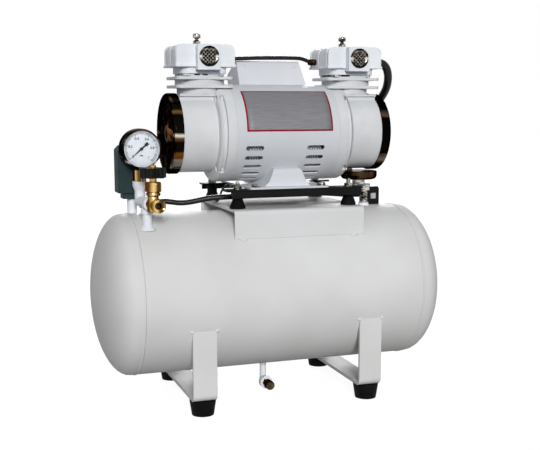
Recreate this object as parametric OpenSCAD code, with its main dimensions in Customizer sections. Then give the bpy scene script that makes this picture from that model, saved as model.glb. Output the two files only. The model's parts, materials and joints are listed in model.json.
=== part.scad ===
// Oil-free piston air compressor: twin heads on one motor, standing on a horizontal air receiver.
// Millimetres. X runs along the receiver, the gauge and the stopcock face -Y, the floor is z = 0.

/* [Air receiver] */
// Outside diameter of the receiver
tank_d = 216.3; // [190:0.1:240]
// Length of the straight shell between its two end seams
shell_l = 383; // [360:1:420]
// Thickness of the shell and of the dished ends
tank_wall = 3.2; // [2:0.1:5]
// Depth of a dished end past its seam
dish_h = 50.5; // [40:0.5:60]
// Straight skirt of a dished end
skirt_h = 8; // [4:1:14]
// Radius of the weld bead round a seam
bead_r = 1.6; // [0.8:0.1:2.5]
// Height of the receiver's axis above the floor
axis_h = 148; // [140:1:165]

/* [Legs and feet] */
// Width of a leg strap
leg_w = 32; // [24:1:40]
// Thickness of a leg strap
leg_t = 4.5; // [3:0.5:6]
// Distance between the middles of the two legs
leg_pitch = 232; // [200:1:260]
// How far a strap's outer face lies inside the receiver's side
leg_inset = 5.15; // [3:0.05:10]
// Depth under the receiver's axis at which the front and back of a strap end on it
leg_top = 35; // [28:1:40]
// Inside radius of a strap's two bends
leg_bend = 5; // [3:1:5]
// Height of a rubber foot
foot_h = 19.5; // [15:0.5:25]
// Diameter of a foot at the strap
foot_top_d = 35; // [30:1:38]
// Diameter of a foot at the floor
foot_d = 29; // [24:1:34]
// Distance from a strap's outer face to the middle of a foot
foot_inset = 15; // [13:0.5:22]
// Diameter of the foot screws
foot_screw_d = 6; // [5:1:8]

/* [Saddle and rails] */
// Length of the saddle on the receiver, and of the rails over it
saddle_l = 183; // [170:1:200]
// Place of the saddle's middle along the receiver
saddle_x = 24.7; // [15:0.1:32]
// Place of the saddle's middle, towards the back
saddle_y = 9.5; // [0:0.5:12]
// Width of the saddle, front to back
saddle_w = 170; // [160:1:178]
// Gap between the receiver's top and the underside of the saddle
saddle_gap = 4; // [2:0.5:8]
// Sheet thickness of the saddle
saddle_t = 3; // [2:0.5:4]
// Distance between the rubber mounts along the saddle
mount_pitch_x = 159; // [150:1:165]
// Distance between the rubber mounts across the saddle
mount_pitch_y = 125; // [120:1:130]
// Place of the mounts' middle, towards the back
mount_y = 14.5; // [12:0.5:17]
// Height of a rubber mount
mount_h = 22.9; // [18:0.1:28]
// Diameter of a rubber mount at its foot
mount_d = 21; // [18:1:24]
// Distance between the outer faces of the two rails
rail_span = 156; // [150:1:162]
// Width of a rail
rail_w = 30; // [26:1:34]
// Sheet thickness of a rail
rail_t = 2.5; // [2:0.5:3]
// Depth of a rail's down-turned edge
rail_lip = 10.5; // [8:0.5:14]
// How far a rail's top runs past its down-turned edge
rail_tab = 6; // [3:0.5:8]
// Diameter of the bolts through the mounts and the motor foot
base_bolt_d = 6; // [5:1:8]
// Length of the motor foot's flange
foot_plate_l = 113; // [108:1:120]
// Width of the motor foot's flange
foot_plate_w = 144; // [140:1:150]
// Length of the motor cradle at its base
cradle_l = 66; // [60:1:72]
// Length of the motor cradle at its top
cradle_top_l = 36; // [30:1:44]
// Width of the motor cradle
cradle_w = 120; // [110:1:124]
// Height of the motor cradle above its flange
cradle_h = 24; // [21:0.5:26]

/* [Motor] */
// Place of the motor's middle, measured from the receiver's middle
pump_x = 17.2; // [12:0.1:22]
// Place of the motor's middle, towards the back
pump_y = 12; // [8:0.5:14]
// Height of the shaft above the motor foot's flange
shaft_h = 69.6; // [68:0.1:74]
// Outside diameter of the motor shell
motor_d = 131.2; // [126:0.1:134]
// Length of the motor shell
motor_l = 144.8; // [140:0.1:150]
// Thickness of the motor shell
motor_wall = 2.2; // [1.5:0.1:3]
// Length of a cooling slot
slot_l = 25; // [20:0.5:28]
// Width of a cooling slot
slot_w = 6.4; // [5:0.1:7]
// Rows of cooling slots on each side
slot_rows = 5; // [3:1:5]
// Angle between two rows of slots
slot_step = 12.6; // [11:0.1:13]
// Angle of the top row of slots under the shaft's level
slot_first = 16.5; // [12:0.5:20]
// Distance between the middles of the two slot groups
slot_pitch = 86; // [80:1:92]
// Diameter of the shaft
shaft_d = 12; // [10:1:14]
// Length of the laminated core
core_l = 56; // [50:1:60]
// Bore of the laminated core
core_bore = 72; // [68:1:76]
// Gap between the rotor and the core
air_gap = 0.5; // [0.4:0.1:0.8]
// Outside diameter of a shaft bearing
bearing_d = 32; // [28:1:34]
// Width of a shaft bearing
bearing_w = 10; // [8:1:12]
// Running clearance on the radius of every shaft and pin
run_gap = 0.05; // [0.02:0.01:0.08]

/* [Crankcases and cowls] */
// Length of the bell at each end of the motor
bell_l = 21.7; // [20:0.1:24]
// Rounding of the bell's shoulder
bell_round = 6; // [3:0.5:8]
// Outside diameter of a crankcase barrel
barrel_d = 104; // [98:1:108]
// Length of a crankcase barrel
barrel_l = 47; // [44:0.5:50]
// Wall of a crankcase barrel
barrel_wall = 5.5; // [4:0.5:7]
// Depth of the curved relief between the clamp screws
relief_depth = 5; // [3:0.5:6]
// Width of the curved relief
relief_w = 6; // [5:0.5:7]
// Radius at which the clamp bolts lie
clamp_r = 57.9; // [57:0.1:58.4]
// Angle of the clamp bolts above and below the shaft's level
clamp_angle = 51.5; // [48:0.5:54]
// Diameter of the clamp bolts
clamp_d = 5; // [4:0.5:6]
// Length of a chrome cowl ring
cowl_l = 13.8; // [12:0.1:16]
// Outside diameter of a cowl ring
cowl_d = 108; // [106:1:110]
// Thickness of a cowl ring
cowl_t = 2; // [1.5:0.1:2.5]
// Rounding of a cowl ring's outer edge
cowl_round = 4; // [3:0.5:5]
// Blades on each cooling fan
fan_blades = 8; // [5:1:9]
// Diameter over the fan blades
fan_d = 86; // [80:1:88]
// Diameter of the fan hub
fan_hub_d = 24; // [20:1:30]

/* [Cylinders and heads] */
// Distance from the motor's middle to a cylinder's axis
cyl_x = 106.4; // [105:0.1:108]
// Bore of a cylinder
bore_d = 52; // [50:1:54]
// Half of the piston stroke
crank_e = 4; // [3:0.5:5]
// Outside diameter of the cylinder above its lower fin
cyl_d = 66.4; // [62:0.1:67]
// Outside diameter of the cylinder under its lower fin
cyl_low_d = 61.4; // [59:0.1:62]
// Height of the crankcase pad above the shaft
pad_z = 52.5; // [52:0.1:54]
// Height of a cylinder
cyl_h = 24.2; // [22:0.1:28]
// Length of a cooling fin
fin_l = 77.6; // [72:0.1:80]
// Width of a cooling fin, front to back
fin_w = 67.6; // [62:0.1:70]
// Thickness of a cooling fin
fin_t = 3.8; // [3:0.1:5]
// Height of the lower fin above the pad
fin_low = 7.8; // [6:0.1:9]
// Height of the upper fin above the pad
fin_high = 19; // [17:0.1:20]
// Thickness of the head gasket
gasket_t = 2.5; // [1.5:0.1:3]
// Side of the square valve plate
valve_plate_w = 62.6; // [60:0.1:66]
// Thickness of the valve plate
valve_plate_h = 8.5; // [7:0.5:11]
// Length of a cylinder head
head_l = 79.4; // [76:0.1:84]
// Width of a cylinder head, front to back
head_w = 68.6; // [66:0.1:74]
// Height of a cylinder head
head_h = 29.2; // [26:0.1:34]
// Rounding of a head's upper corners
head_round = 8.5; // [6:0.5:11]
// Width of the slots between the head's fins
head_slot_w = 3.5; // [2.5:0.1:5]
// Depth of the slots between the head's fins
head_slot_d = 7; // [4:0.5:9]
// Distance between two slots
head_slot_pitch = 29; // [28:0.5:31]
// Width of the intake boss on the front of a head
boss_w = 31; // [29:1:34]
// Height of the intake boss
boss_h = 33; // [31:1:36]
// How far the intake boss stands out of the head
boss_out = 11.5; // [8:0.5:14]
// Diameter of the intake filter
filter_d = 26.4; // [24:0.1:28]
// Rows of holes round the middle of the filter
filter_rings = 4; // [2:1:4]
// Distance between the holes of the filter
filter_pitch = 2.4; // [2.2:0.1:2.8]
// Diameter of the chrome knob on a head
knob_d = 10.4; // [9:0.1:12]
// Height of the chrome knob
knob_h = 16.5; // [14:0.5:19]

/* [Capacitor box] */
// Length of the capacitor box
cap_box_l = 102; // [95:1:108]
// Width of the capacitor box
cap_box_w = 50; // [44:1:56]
// Height of the capacitor box above the motor shell
cap_box_h = 33; // [31:0.5:36]
// Wall of the capacitor box
cap_box_wall = 1.5; // [1:0.1:2.5]
// Lean of the capacitor box towards the back
cap_lean = 25; // [20:1:30]
// Diameter of the capacitor in it
capacitor_d = 28; // [24:1:29]

/* [Fittings] */
// Place of the gauge socket along the receiver
tee_x = -177; // [-180:0.5:-170]
// Place of the gauge socket, towards the front
tee_y = -51; // [-56:0.5:-46]
// Height of the tee's middle above the receiver's top
tee_h = 18.85; // [16:0.05:22]
// Turn of the tee about its upright
tee_turn = 7; // [0:0.5:15]
// Outside diameter of the gauge socket on the receiver
socket_d = 12; // [11:0.5:14]
// Distance from the tee's upright back to the gauge's stem
tee_run = 27.4; // [26.5:0.1:32]
// Diameter of the tee's pipe body
tee_d = 14; // [12.5:0.5:15]
// Diameter of the tee's collars
collar_d = 19; // [17:0.5:21]
// Distance from the tee to the stopcock's spindle
cock_run = 25.4; // [24:0.1:30]
// Diameter of the black handwheel over its lobes
wheel_d = 34.6; // [30:0.1:38]
// Height of the handwheel
wheel_h = 12.5; // [10:0.5:14]
// Lobes on the handwheel
wheel_lobes = 6; // [4:1:8]
// Bore of the stopcock's outlet
outlet_d = 8; // [6:0.5:8.5]
// Depth of the outlet's bore
outlet_l = 10; // [8:0.5:12]
// Lift of the spindle for each turn of the wheel
spindle_pitch = 1.25; // [1:0.05:1.5]
// Diameter of the pressure gauge over its bezel
gauge_d = 52; // [50:0.5:54]
// Depth of the pressure gauge
gauge_depth = 28; // [24:1:30]
// Height of the gauge's middle above the receiver's top
gauge_h = 87.05; // [85:0.05:90]
// Length of the pressure switch's cover
switch_l = 33; // [30:1:36]
// Width of the pressure switch's cover, front to back
switch_w = 34; // [30:1:36]
// Height of the pressure switch's cover
switch_h = 62; // [56:1:68]
// Place of the pressure switch along the receiver
switch_x = -188.5; // [-190:0.5:-186]
// Place of the pressure switch, towards the back
switch_y = 9; // [8:0.5:12]
// Height of the cover's underside above the receiver's top
switch_z = 27.9; // [26:0.1:30]
// Diameter of the chrome damper drum under the right crankcase
drum_d = 52; // [48:1:52]
// Height of the damper drum
drum_h = 12; // [10:0.5:12.5]
// Place of the damper drum along the receiver
drum_x = 141; // [140:0.5:143]
// Place of the delivery pipe along the receiver
pipe_x = 149; // [147:0.5:150]
// Gap between the right cowl ring and the damper drum under it
drum_gap = 0.65; // [0.4:0.05:2]
// Place of the junction box along the receiver
jbox_x = 168; // [167:0.5:170]
// Place of the junction box, towards the back
jbox_y = 21; // [20:0.5:24]
// Length of the junction box
jbox_l = 21; // [18:1:22]
// Width of the junction box
jbox_w = 24; // [20:1:25]
// Height of the junction box's lid above the receiver's top
jbox_z = 25.35; // [22:0.05:28]
// Place of the drain along the receiver
drain_x = -4; // [-20:1:20]
// Height of the drain cock above the floor
drain_z = 11.5; // [10:0.5:14]
// Distance from the drain's upright to the face of its elbow
drain_run = 16; // [12:0.5:20]
// Diameter of the drain elbow's collar
drain_d = 17.6; // [14:0.1:19]
// Diameter of the hose that joins the two heads
link_d = 5.6; // [5:0.1:7]
// Diameter of the discharge hose
hose_d = 11.6; // [10:0.1:12.5]
// Diameter of the cable from the pressure switch
cable_d = 7.5; // [6:0.5:8]
// Diameter of the earth wire
earth_d = 3; // [2.5:0.1:4]

/* [Hidden] */

// Overrun of every cut
over = 1;
// Clearance between pieces that don't touch
gap = 0.3;
// Clearance of a bolt in its hole, on the radius
bolt_gap = 0.3;
// Clearance of a capacitor or core from its housing
seat_gap = 0.2;
// Facets of large, middle and small circles
$fn = 48;
fine = 96;
small = 24;

// Receiver
tank_r = tank_d / 2;
seam_x = shell_l / 2;
top_z = axis_h + tank_r;
leg_span = tank_d - 2 * leg_inset;
foot_pitch = leg_span - 2 * foot_inset;

// Levels of the saddle, rails, motor foot and shaft
saddle_z = top_z + saddle_gap + saddle_t;
rail_z = saddle_z + mount_h + rail_t;
flange_z = rail_z + rail_t;
pump_z = flange_z + shaft_h;
pump = [pump_x, pump_y, pump_z];
drum_low = pump_z - cowl_d / 2 - drum_gap - drum_h;

// Motor and crankcases, measured outwards from the motor's middle
motor_r = motor_d / 2;
sleeve_end = motor_l / 2;
bell_end = sleeve_end + bell_l;
barrel_end = bell_end + barrel_l;
cowl_end = barrel_end + cowl_l;
rod_t = 11;
chamber_x = cyl_x - rod_t / 2 - run_gap - gap;
bell_cup = 6;
shaft_hole_gap = 2;
relief_x = bell_end - relief_w - gap - relief_w / 3;
clamp_head_d = 9;
clamp_head_h = 3.5;

// Heights above the shaft of what stands on a crankcase
cyl_top = pad_z + cyl_h;
valve_z = cyl_top + gasket_t;
head_z = valve_z + valve_plate_h;
head_top = head_z + head_h;
piston_top = cyl_top - crank_e - fin_t / 6;

// Turns a list of points round an arc of radius r about [cx, cy]
function arc(cx, cy, r, a0, a1, n) =
  [for (i = [0:n]) [cx + r * cos(a0 + (a1 - a0) * i / n), cy + r * sin(a0 + (a1 - a0) * i / n)]];

// Cylinder along X from x for a length
module rod_x(x, length, r) {
  translate([x, 0, 0])
    rotate([0, 90, 0])
      cylinder(h = length, r = r);
}

// Cylinder along Y from y for a length
module rod_y(y, length, r) {
  translate([0, y, 0])
    rotate([-90, 0, 0])
      cylinder(h = length, r = r);
}

// Tube along Z
module tube(h, r_out, r_in) {
  difference() {
    cylinder(h = h, r = r_out);
    translate([0, 0, -over])
      cylinder(h = h + 2 * over, r = r_in);
  }
}

// Rectangle with true round corners
module round_rect(w, d, r) {
  square([w - 2 * r, d], center = true);
  square([w, d - 2 * r], center = true);
  for (sx = [-1, 1], sy = [-1, 1])
    translate([sx * (w / 2 - r), sy * (d / 2 - r)])
      circle(r = r, $fn = small);
}

// Block with round upright edges
module pad(w, d, h, r) {
  linear_extrude(height = h)
    round_rect(w, d, r);
}

// Profile drawn as [x, z], extruded along Y about the middle
module along_y(w) {
  translate([0, w / 2, 0])
    rotate([90, 0, 0])
      linear_extrude(height = w)
        children();
}

// Profile drawn as [y, z], extruded along X from x
module along_x(x, length) {
  translate([x, 0, 0])
    rotate([90, 0, 90])
      linear_extrude(height = length)
        children();
}

// Hexagon prism measured across its flats
module hex(h, flats) {
  cylinder(h = h, r = flats / sqrt(3), $fn = 6);
}

// Whole receiver as one solid, for cutting what is welded on it
module tank_body(r) {
  translate([0, 0, axis_h])
    rod_x(-seam_x - skirt_h, shell_l + 2 * skirt_h, r, $fn = fine);
}

// Places a piece at one end of the motor, X pointing outwards
module at_end(side) {
  translate(pump)
    mirror([side < 0 ? 1 : 0, 0, 0])
      children();
}

// Places a piece on the axis of one cylinder, unmirrored
module at_cylinder(side) {
  translate(pump + [side * cyl_x, 0, 0])
    children();
}

// Sweeps a round tube along points. The section is carried from ring to ring without twist.
function unit(v) = v / norm(v);
function tangent(p, i) = unit(p[min(i + 1, len(p) - 1)] - p[max(i - 1, 0)]);
function across(v) = abs(v[0]) < 0.8 ? unit(cross(v, [1, 0, 0])) : unit(cross(v, [0, 1, 0]));
function carried(u, t) = unit(u - t * (u * t));
function normals(p, i = 0, u = undef) =
  i >= len(p) ? [] :
  let (t = tangent(p, i), n = is_undef(u) ? across(t) : carried(u, t))
  concat([n], normals(p, i + 1, n));
module swept(p, r, sides) {
  n = normals(p);
  rings = [for (i = [0:len(p) - 1])
    let (t = tangent(p, i), b = cross(t, n[i]))
    for (k = [0:sides - 1]) p[i] + r * (cos(360 * k / sides) * n[i] + sin(360 * k / sides) * b)];
  m = len(p) - 1;
  walls = [for (i = [0:m - 1], k = [0:sides - 1])
    let (a = i * sides + k, b = i * sides + (k + 1) % sides)
    for (f = [[a, a + sides, b + sides], [a, b + sides, b]]) f];
  lids = [[for (k = [0:sides - 1]) k], [for (k = [sides - 1:-1:0]) m * sides + k]];
  polyhedron(points = rings, faces = concat(walls, lids), convexity = 6);
}

// Catmull-Rom curve through points, with a number of steps between each two
function blend(a, b, c, d, t) =
  0.5 * (2 * b + (c - a) * t + (2 * a - 5 * b + 4 * c - d) * t * t + (3 * b - a - 3 * c + d) * t * t * t);
function curve(p, steps) = concat(
  [for (i = [0:len(p) - 2], s = [0:steps - 1])
    blend(p[max(i - 1, 0)], p[i], p[i + 1], p[min(i + 2, len(p) - 1)], s / steps)],
  [p[len(p) - 1]]);

// Receiver shell, with a hole under each socket
bore_share = 0.34;
switch_pipe_d = 12.6;
switch_pipe_x = switch_x + switch_l / 9;
inlet_d = 14;
inlet_h = 4;
drain_pipe_d = 9;
sockets = [[tee_x, tee_y, socket_d], [switch_pipe_x, switch_y, switch_pipe_d], [pipe_x, 0, inlet_d]];

module tank_shell() {
  color("whitesmoke")
    difference() {
      translate([0, 0, axis_h])
        rod_x(-seam_x, shell_l, tank_r, $fn = fine);
      translate([0, 0, axis_h])
        rod_x(-seam_x - over, shell_l + 2 * over, tank_r - tank_wall, $fn = fine);
      for (s = sockets)
        translate([s[0], s[1], axis_h])
          cylinder(h = tank_r + over, r = s[2] * bore_share);
      translate([drain_x, 0, axis_h - tank_r - over])
        cylinder(h = tank_r, r = drain_pipe_d * bore_share);
    }
}

// Dished end with its skirt, and the weld bead on the seam
module tank_end() {
  inner_r = tank_r - tank_wall;
  crown = dish_h - skirt_h;
  steps = 14;
  rotate([0, 90, 0])
    rotate_extrude($fn = fine)
      union() {
        polygon(concat(
          [for (i = [0:steps]) [tank_r * cos(90 * i / steps), skirt_h + crown * sin(90 * i / steps)]],
          [for (i = [steps:-1:0])
            [inner_r * cos(90 * i / steps), skirt_h + (crown - tank_wall) * sin(90 * i / steps)]],
          [[inner_r, 0], [tank_r, 0]]));
        translate([tank_r - bead_r / 2, bead_r])
          circle(r = bead_r, $fn = small);
      }
}

module tank_end_left() {
  color("whitesmoke")
    translate([-seam_x, 0, axis_h])
      mirror([1, 0, 0])
        tank_end();
}

module tank_end_right() {
  color("whitesmoke")
    translate([seam_x, 0, axis_h])
      tank_end();
}

// Welded sockets: gauge, pressure switch and inlet on top, drain pipe below
socket_top = tank_r + tee_h - tee_d;
weld_h = 3.6;
weld_out = 3;
drain_turn_r = drain_pipe_d * 0.6;

module upright_socket(x, y, d, h, flare) {
  base = axis_h + sqrt(tank_r * tank_r - y * y);
  difference() {
    union() {
      translate([x, y, axis_h])
        cylinder(h = h, d = d);
      translate([x, y, base - weld_h])
        cylinder(h = 2 * weld_h, r1 = d / 2 + 2 * flare, r2 = d / 2);
    }
    tank_body(tank_r);
    translate([x, y, axis_h])
      cylinder(h = h + over, r = d * bore_share);
  }
}

module tank_sockets() {
  color("white") {
    upright_socket(tee_x, tee_y, socket_d, socket_top, weld_out);
    upright_socket(switch_pipe_x, switch_y, switch_pipe_d, tank_r + switch_z - switch_base_h, 0);
    upright_socket(pipe_x, 0, inlet_d, tank_r + inlet_h, weld_out / 3);
    difference() {
      union() {
        translate([drain_x, 0, drain_z])
          cylinder(h = axis_h - drain_z, d = drain_pipe_d);
        translate([drain_x, 0, axis_h - tank_r - weld_out])
          cylinder(h = 2 * weld_out, r1 = drain_pipe_d / 2, r2 = drain_pipe_d / 2 + 2 * weld_out);
        translate([drain_x, 0, drain_z])
          sphere(r = drain_turn_r);
        translate([drain_x, 0, drain_z])
          rod_y(-drain_run, drain_run, drain_turn_r);
        translate([drain_x, 0, drain_z])
          rod_y(-drain_run, drain_run / 2, drain_d / 2);
      }
      tank_body(tank_r);
      translate([drain_x, 0, drain_z])
        cylinder(h = axis_h, r = drain_pipe_d * bore_share);
      translate([drain_x, 0, drain_z])
        rod_y(-drain_run - over, drain_run + over, drain_pipe_d * bore_share);
    }
  }
}

// Drain cock screwed into the elbow, and the knob that turns on its end
drain_neck_l = 6;
drain_stem_d = 5;
drain_knob_l = 13;
module at_drain() {
  translate([drain_x, -drain_run, drain_z])
    children();
}

module drain_cock() {
  color("darkkhaki")
    at_drain()
      difference() {
        union() {
          rotate([90, 0, 0])
            hex(drain_neck_l, drain_pipe_d * 1.1);
          rod_y(-drain_neck_l - drain_knob_l + over, drain_knob_l + drain_neck_l, drain_stem_d / 2);
          rod_y(-over, drain_run / 2, drain_pipe_d * bore_share);
        }
        rod_y(-drain_neck_l, drain_run + drain_neck_l, drain_stem_d / 4);
      }
}

module drain_knob() {
  r = drain_d * 0.37;
  color("darkkhaki")
    at_drain()
      translate([0, -drain_neck_l - gap, 0])
        rotate([90, 0, 0])
          rotate_extrude()
            polygon([[drain_stem_d / 2 + run_gap, 0], [r * 0.8, 0], [r, r / 4],
              [r, drain_knob_l - r / 4], [r * 0.8, drain_knob_l], [0, drain_knob_l],
              [0, drain_knob_l - over], [drain_stem_d / 2 + run_gap, drain_knob_l - over]]);
}

// Strap leg: a U of flat bar under the receiver
module leg(x) {
  half = leg_span / 2;
  low = foot_h;
  outer = leg_bend + leg_t;
  bends = 6;
  profile = concat(
    [[-half, axis_h - leg_top]],
    arc(-half + outer, low + outer, outer, 180, 270, bends),
    arc(half - outer, low + outer, outer, 270, 360, bends),
    [[half, axis_h - leg_top], [half - leg_t, axis_h - leg_top]],
    arc(half - outer, low + outer, leg_bend, 360, 270, bends),
    arc(-half + outer, low + outer, leg_bend, 270, 180, bends),
    [[-half + leg_t, axis_h - leg_top]]);
  color("whitesmoke")
    difference() {
      along_x(x - leg_w / 2, leg_w)
        polygon(profile);
      tank_body(tank_r);
      for (sy = [-1, 1])
        translate([x, sy * foot_pitch / 2, low - over])
          cylinder(h = leg_t + 2 * over, r = foot_screw_d / 2 + bolt_gap);
    }
}

module leg_left() {
  leg(-leg_pitch / 2);
}

module leg_right() {
  leg(leg_pitch / 2);
}

// Rubber foot with a recess for its screw
foot_recess_d = 14;
foot_recess_h = 9;
washer_t = 1.5;

module rubber_feet() {
  color("dimgray")
    for (sx = [-1, 1], sy = [-1, 1])
      translate([sx * leg_pitch / 2, sy * foot_pitch / 2, 0])
        difference() {
          cylinder(h = foot_h, d1 = foot_d, d2 = foot_top_d);
          translate([0, 0, -over])
            cylinder(h = foot_recess_h + over, d = foot_recess_d);
          cylinder(h = foot_h + over, r = foot_screw_d / 2 + bolt_gap);
        }
}

module foot_screws() {
  nut_h = foot_screw_d * 0.8;
  color("silver")
    for (sx = [-1, 1], sy = [-1, 1])
      translate([sx * leg_pitch / 2, sy * foot_pitch / 2, 0]) {
        translate([0, 0, foot_recess_h - washer_t])
          cylinder(h = washer_t, d = foot_recess_d - 2 * over);
        translate([0, 0, foot_recess_h - washer_t - foot_screw_d / 2])
          cylinder(h = foot_screw_d / 2, d = foot_screw_d * 1.7);
        translate([0, 0, foot_recess_h - washer_t])
          cylinder(h = foot_h + leg_t + nut_h * 1.4 - foot_recess_h + washer_t, d = foot_screw_d);
        translate([0, 0, foot_h + leg_t])
          hex(nut_h, foot_screw_d * 1.66);
      }
}

// Places of the four rubber mounts
module at_mounts() {
  for (sx = [-1, 1], sy = [-1, 1])
    translate([saddle_x + sx * mount_pitch_x / 2, mount_y + sy * mount_pitch_y / 2, 0])
      children();
}

// Channel section with down-turned edges, drawn as [y, z] under a top level
module channel(w, top, low, t, bend) {
  half = w / 2;
  bends = 5;
  polygon(concat(
    [[half, low]],
    arc(half - bend, top - bend, bend, 0, 90, bends),
    arc(-half + bend, top - bend, bend, 90, 180, bends),
    [[-half, low], [-half + t, low]],
    arc(-half + bend, top - bend, bend - t, 180, 90, bends),
    arc(half - bend, top - bend, bend - t, 90, 0, bends),
    [[half - t, low]]));
}

module saddle() {
  reach = saddle_w / 2 + saddle_y;
  low = axis_h + sqrt(tank_r * tank_r - reach * reach) - saddle_t;
  color("whitesmoke")
    difference() {
      translate([0, saddle_y, 0])
        along_x(saddle_x - saddle_l / 2, saddle_l)
          channel(saddle_w, saddle_z, low, saddle_t, 2 * saddle_t);
      tank_body(tank_r);
      at_mounts()
        translate([0, 0, saddle_z - saddle_t - over])
          cylinder(h = saddle_t + 2 * over, r = base_bolt_d / 2 + bolt_gap);
    }
}

module rubber_mounts() {
  waist_r = mount_d / 3;
  rim = mount_h / 8;
  hole_r = base_bolt_d / 2 + bolt_gap;
  color("black")
    at_mounts()
      translate([0, 0, saddle_z])
        rotate_extrude()
          polygon([[hole_r, 0], [mount_d / 2, 0], [mount_d / 2, rim], [waist_r, mount_h / 2],
            [waist_r, mount_h * 0.7], [mount_d * 0.42, mount_h - rim], [mount_d * 0.42, mount_h],
            [hole_r, mount_h]]);
}

foot_shift = 1.2;
foot_x = pump_x - foot_shift;
foot_edge_x = 10;
foot_edge_y = 8;
foot_bolt_x = foot_plate_l - 2 * foot_edge_x;
foot_bolt_y = foot_plate_w - 2 * foot_edge_y;
module at_foot_bolts() {
  for (sx = [-1, 1], sy = [-1, 1])
    translate([foot_x + sx * foot_bolt_x / 2, pump_y + sy * foot_bolt_y / 2, 0])
      children();
}

// Two angle rails under the motor foot, their edges turned down at the front and the back
module base_rails() {
  bend = 2 * rail_t;
  bends = 5;
  color("#1c1c1e")
    difference() {
      for (sy = [-1, 1])
        translate([0, pump_y, 0])
          mirror([0, sy < 0 ? 1 : 0, 0])
            translate([0, rail_span / 2, 0]) {
              along_x(saddle_x - saddle_l / 2, saddle_l)
                polygon(concat([[0, rail_z - rail_lip]],
                  arc(-bend, rail_z - bend, bend, 0, 90, bends),
                  [[-rail_w, rail_z], [-rail_w, rail_z - rail_t]],
                  arc(-bend, rail_z - bend, bend - rail_t, 90, 0, bends),
                  [[-rail_t, rail_z - rail_lip]]));
              translate([saddle_x, -bend - (rail_w - bend) / 2, rail_z - rail_t])
                pad(saddle_l + 2 * rail_tab, rail_w - bend, rail_t, bend);
            }
      at_mounts()
        translate([0, 0, rail_z - rail_t - over])
          cylinder(h = rail_t + 2 * over, r = base_bolt_d / 2 + bolt_gap);
      at_foot_bolts()
        translate([0, 0, rail_z - rail_t - over])
          cylinder(h = rail_t + 2 * over, r = base_bolt_d / 2 + bolt_gap);
    }
}

// Bolts through the rubber mounts, and the bolts of the motor foot
module base_bolts() {
  head_h = base_bolt_d * 0.7;
  flats = base_bolt_d * 1.66;
  stud = base_bolt_d * 1.8;
  color("silver") {
    at_mounts() {
      translate([0, 0, saddle_z - saddle_t - head_h])
        hex(head_h, flats);
      translate([0, 0, saddle_z - saddle_t])
        cylinder(h = saddle_t + mount_h + rail_t + stud, d = base_bolt_d);
      translate([0, 0, rail_z])
        hex(head_h, flats);
    }
    at_foot_bolts() {
      translate([0, 0, rail_z - rail_t - head_h])
        hex(head_h, flats);
      translate([0, 0, rail_z - rail_t])
        cylinder(h = 2 * rail_t + over, d = base_bolt_d);
      translate([0, 0, flange_z])
        hex(head_h, flats);
    }
  }
}

// Pressed motor foot: a flange and a hollow cradle that follows the motor
cradle_round = 8;
module cradle_body(inset) {
  knee = cradle_h * 0.25;
  brow = cradle_h * 0.85;
  intersection() {
    along_y(cradle_w)
      polygon([[-cradle_l / 2 + inset, -rail_t], [-cradle_l / 2 + inset, 0],
        [-cradle_l / 2.5 + inset, knee], [-cradle_top_l / 2 - rail_t + inset, brow],
        [-cradle_top_l / 2 + inset, cradle_h - inset / 2], [cradle_top_l / 2 - inset, cradle_h - inset / 2],
        [cradle_top_l / 2 + rail_t - inset, brow], [cradle_l / 2.5 - inset, knee],
        [cradle_l / 2 - inset, 0], [cradle_l / 2 - inset, -rail_t]]);
    along_x(-cradle_l, 2 * cradle_l)
      translate([0, -rail_t])
        arch(cradle_w - 2 * inset, cradle_h + rail_t - inset, cradle_round);
  }
}

module motor_foot() {
  color("whitesmoke")
    difference() {
      translate([foot_x, pump_y, flange_z])
        union() {
          translate([0, 0, -rail_t])
            pad(foot_plate_l, foot_plate_w, rail_t, bell_round);
          cradle_body(0);
        }
      translate([foot_x, pump_y, flange_z]) {
        cradle_body(rail_t);
        translate([0, 0, -rail_t])
          cradle_body(rail_t);
      }
      translate(pump)
        rod_x(-cradle_l, 2 * cradle_l, motor_r, $fn = fine);
      at_foot_bolts()
        translate([0, 0, rail_z - over])
          cylinder(h = rail_t + 2 * over, r = base_bolt_d / 2 + bolt_gap);
    }
}

// One cooling slot, its middle on the motor's side at an angle under the shaft's level
module slot(x, angle, front) {
  rotate([front * angle, 0, 0])
    translate([x, 0, 0])
      rotate([front * 90, 0, 0])
        translate([0, 0, motor_r - 2 * motor_wall])
          linear_extrude(height = 2 * motor_wall + over)
            round_rect(slot_l, slot_w, slot_w / 2 - gap / 10);
}

module motor_shell() {
  color("whitesmoke")
    translate(pump)
      difference() {
        rod_x(-sleeve_end, motor_l, motor_r, $fn = fine);
        rod_x(-sleeve_end - over, motor_l + 2 * over, motor_r - motor_wall, $fn = fine);
        for (group = [-1, 1], row = [0:slot_rows - 1], front = [-1, 1])
          slot(group * slot_pitch / 2, slot_first + row * slot_step, -front);
      }
}

// Laminated core with clearance holes for the clamp bolts
module at_clamps() {
  for (sy = [-1, 1], sz = [-1, 1])
    translate([0, sy * clamp_r * cos(clamp_angle), sz * clamp_r * sin(clamp_angle)])
      children();
}

module stator_core() {
  color("gray")
    translate(pump)
      difference() {
        rod_x(-core_l / 2, core_l, motor_r - motor_wall - seat_gap, $fn = fine);
        rod_x(-core_l / 2 - over, core_l + 2 * over, core_bore / 2, $fn = fine);
        at_clamps()
          rod_x(-core_l / 2 - over, core_l + 2 * over, clamp_d / 2 + bolt_gap);
      }
}

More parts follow.
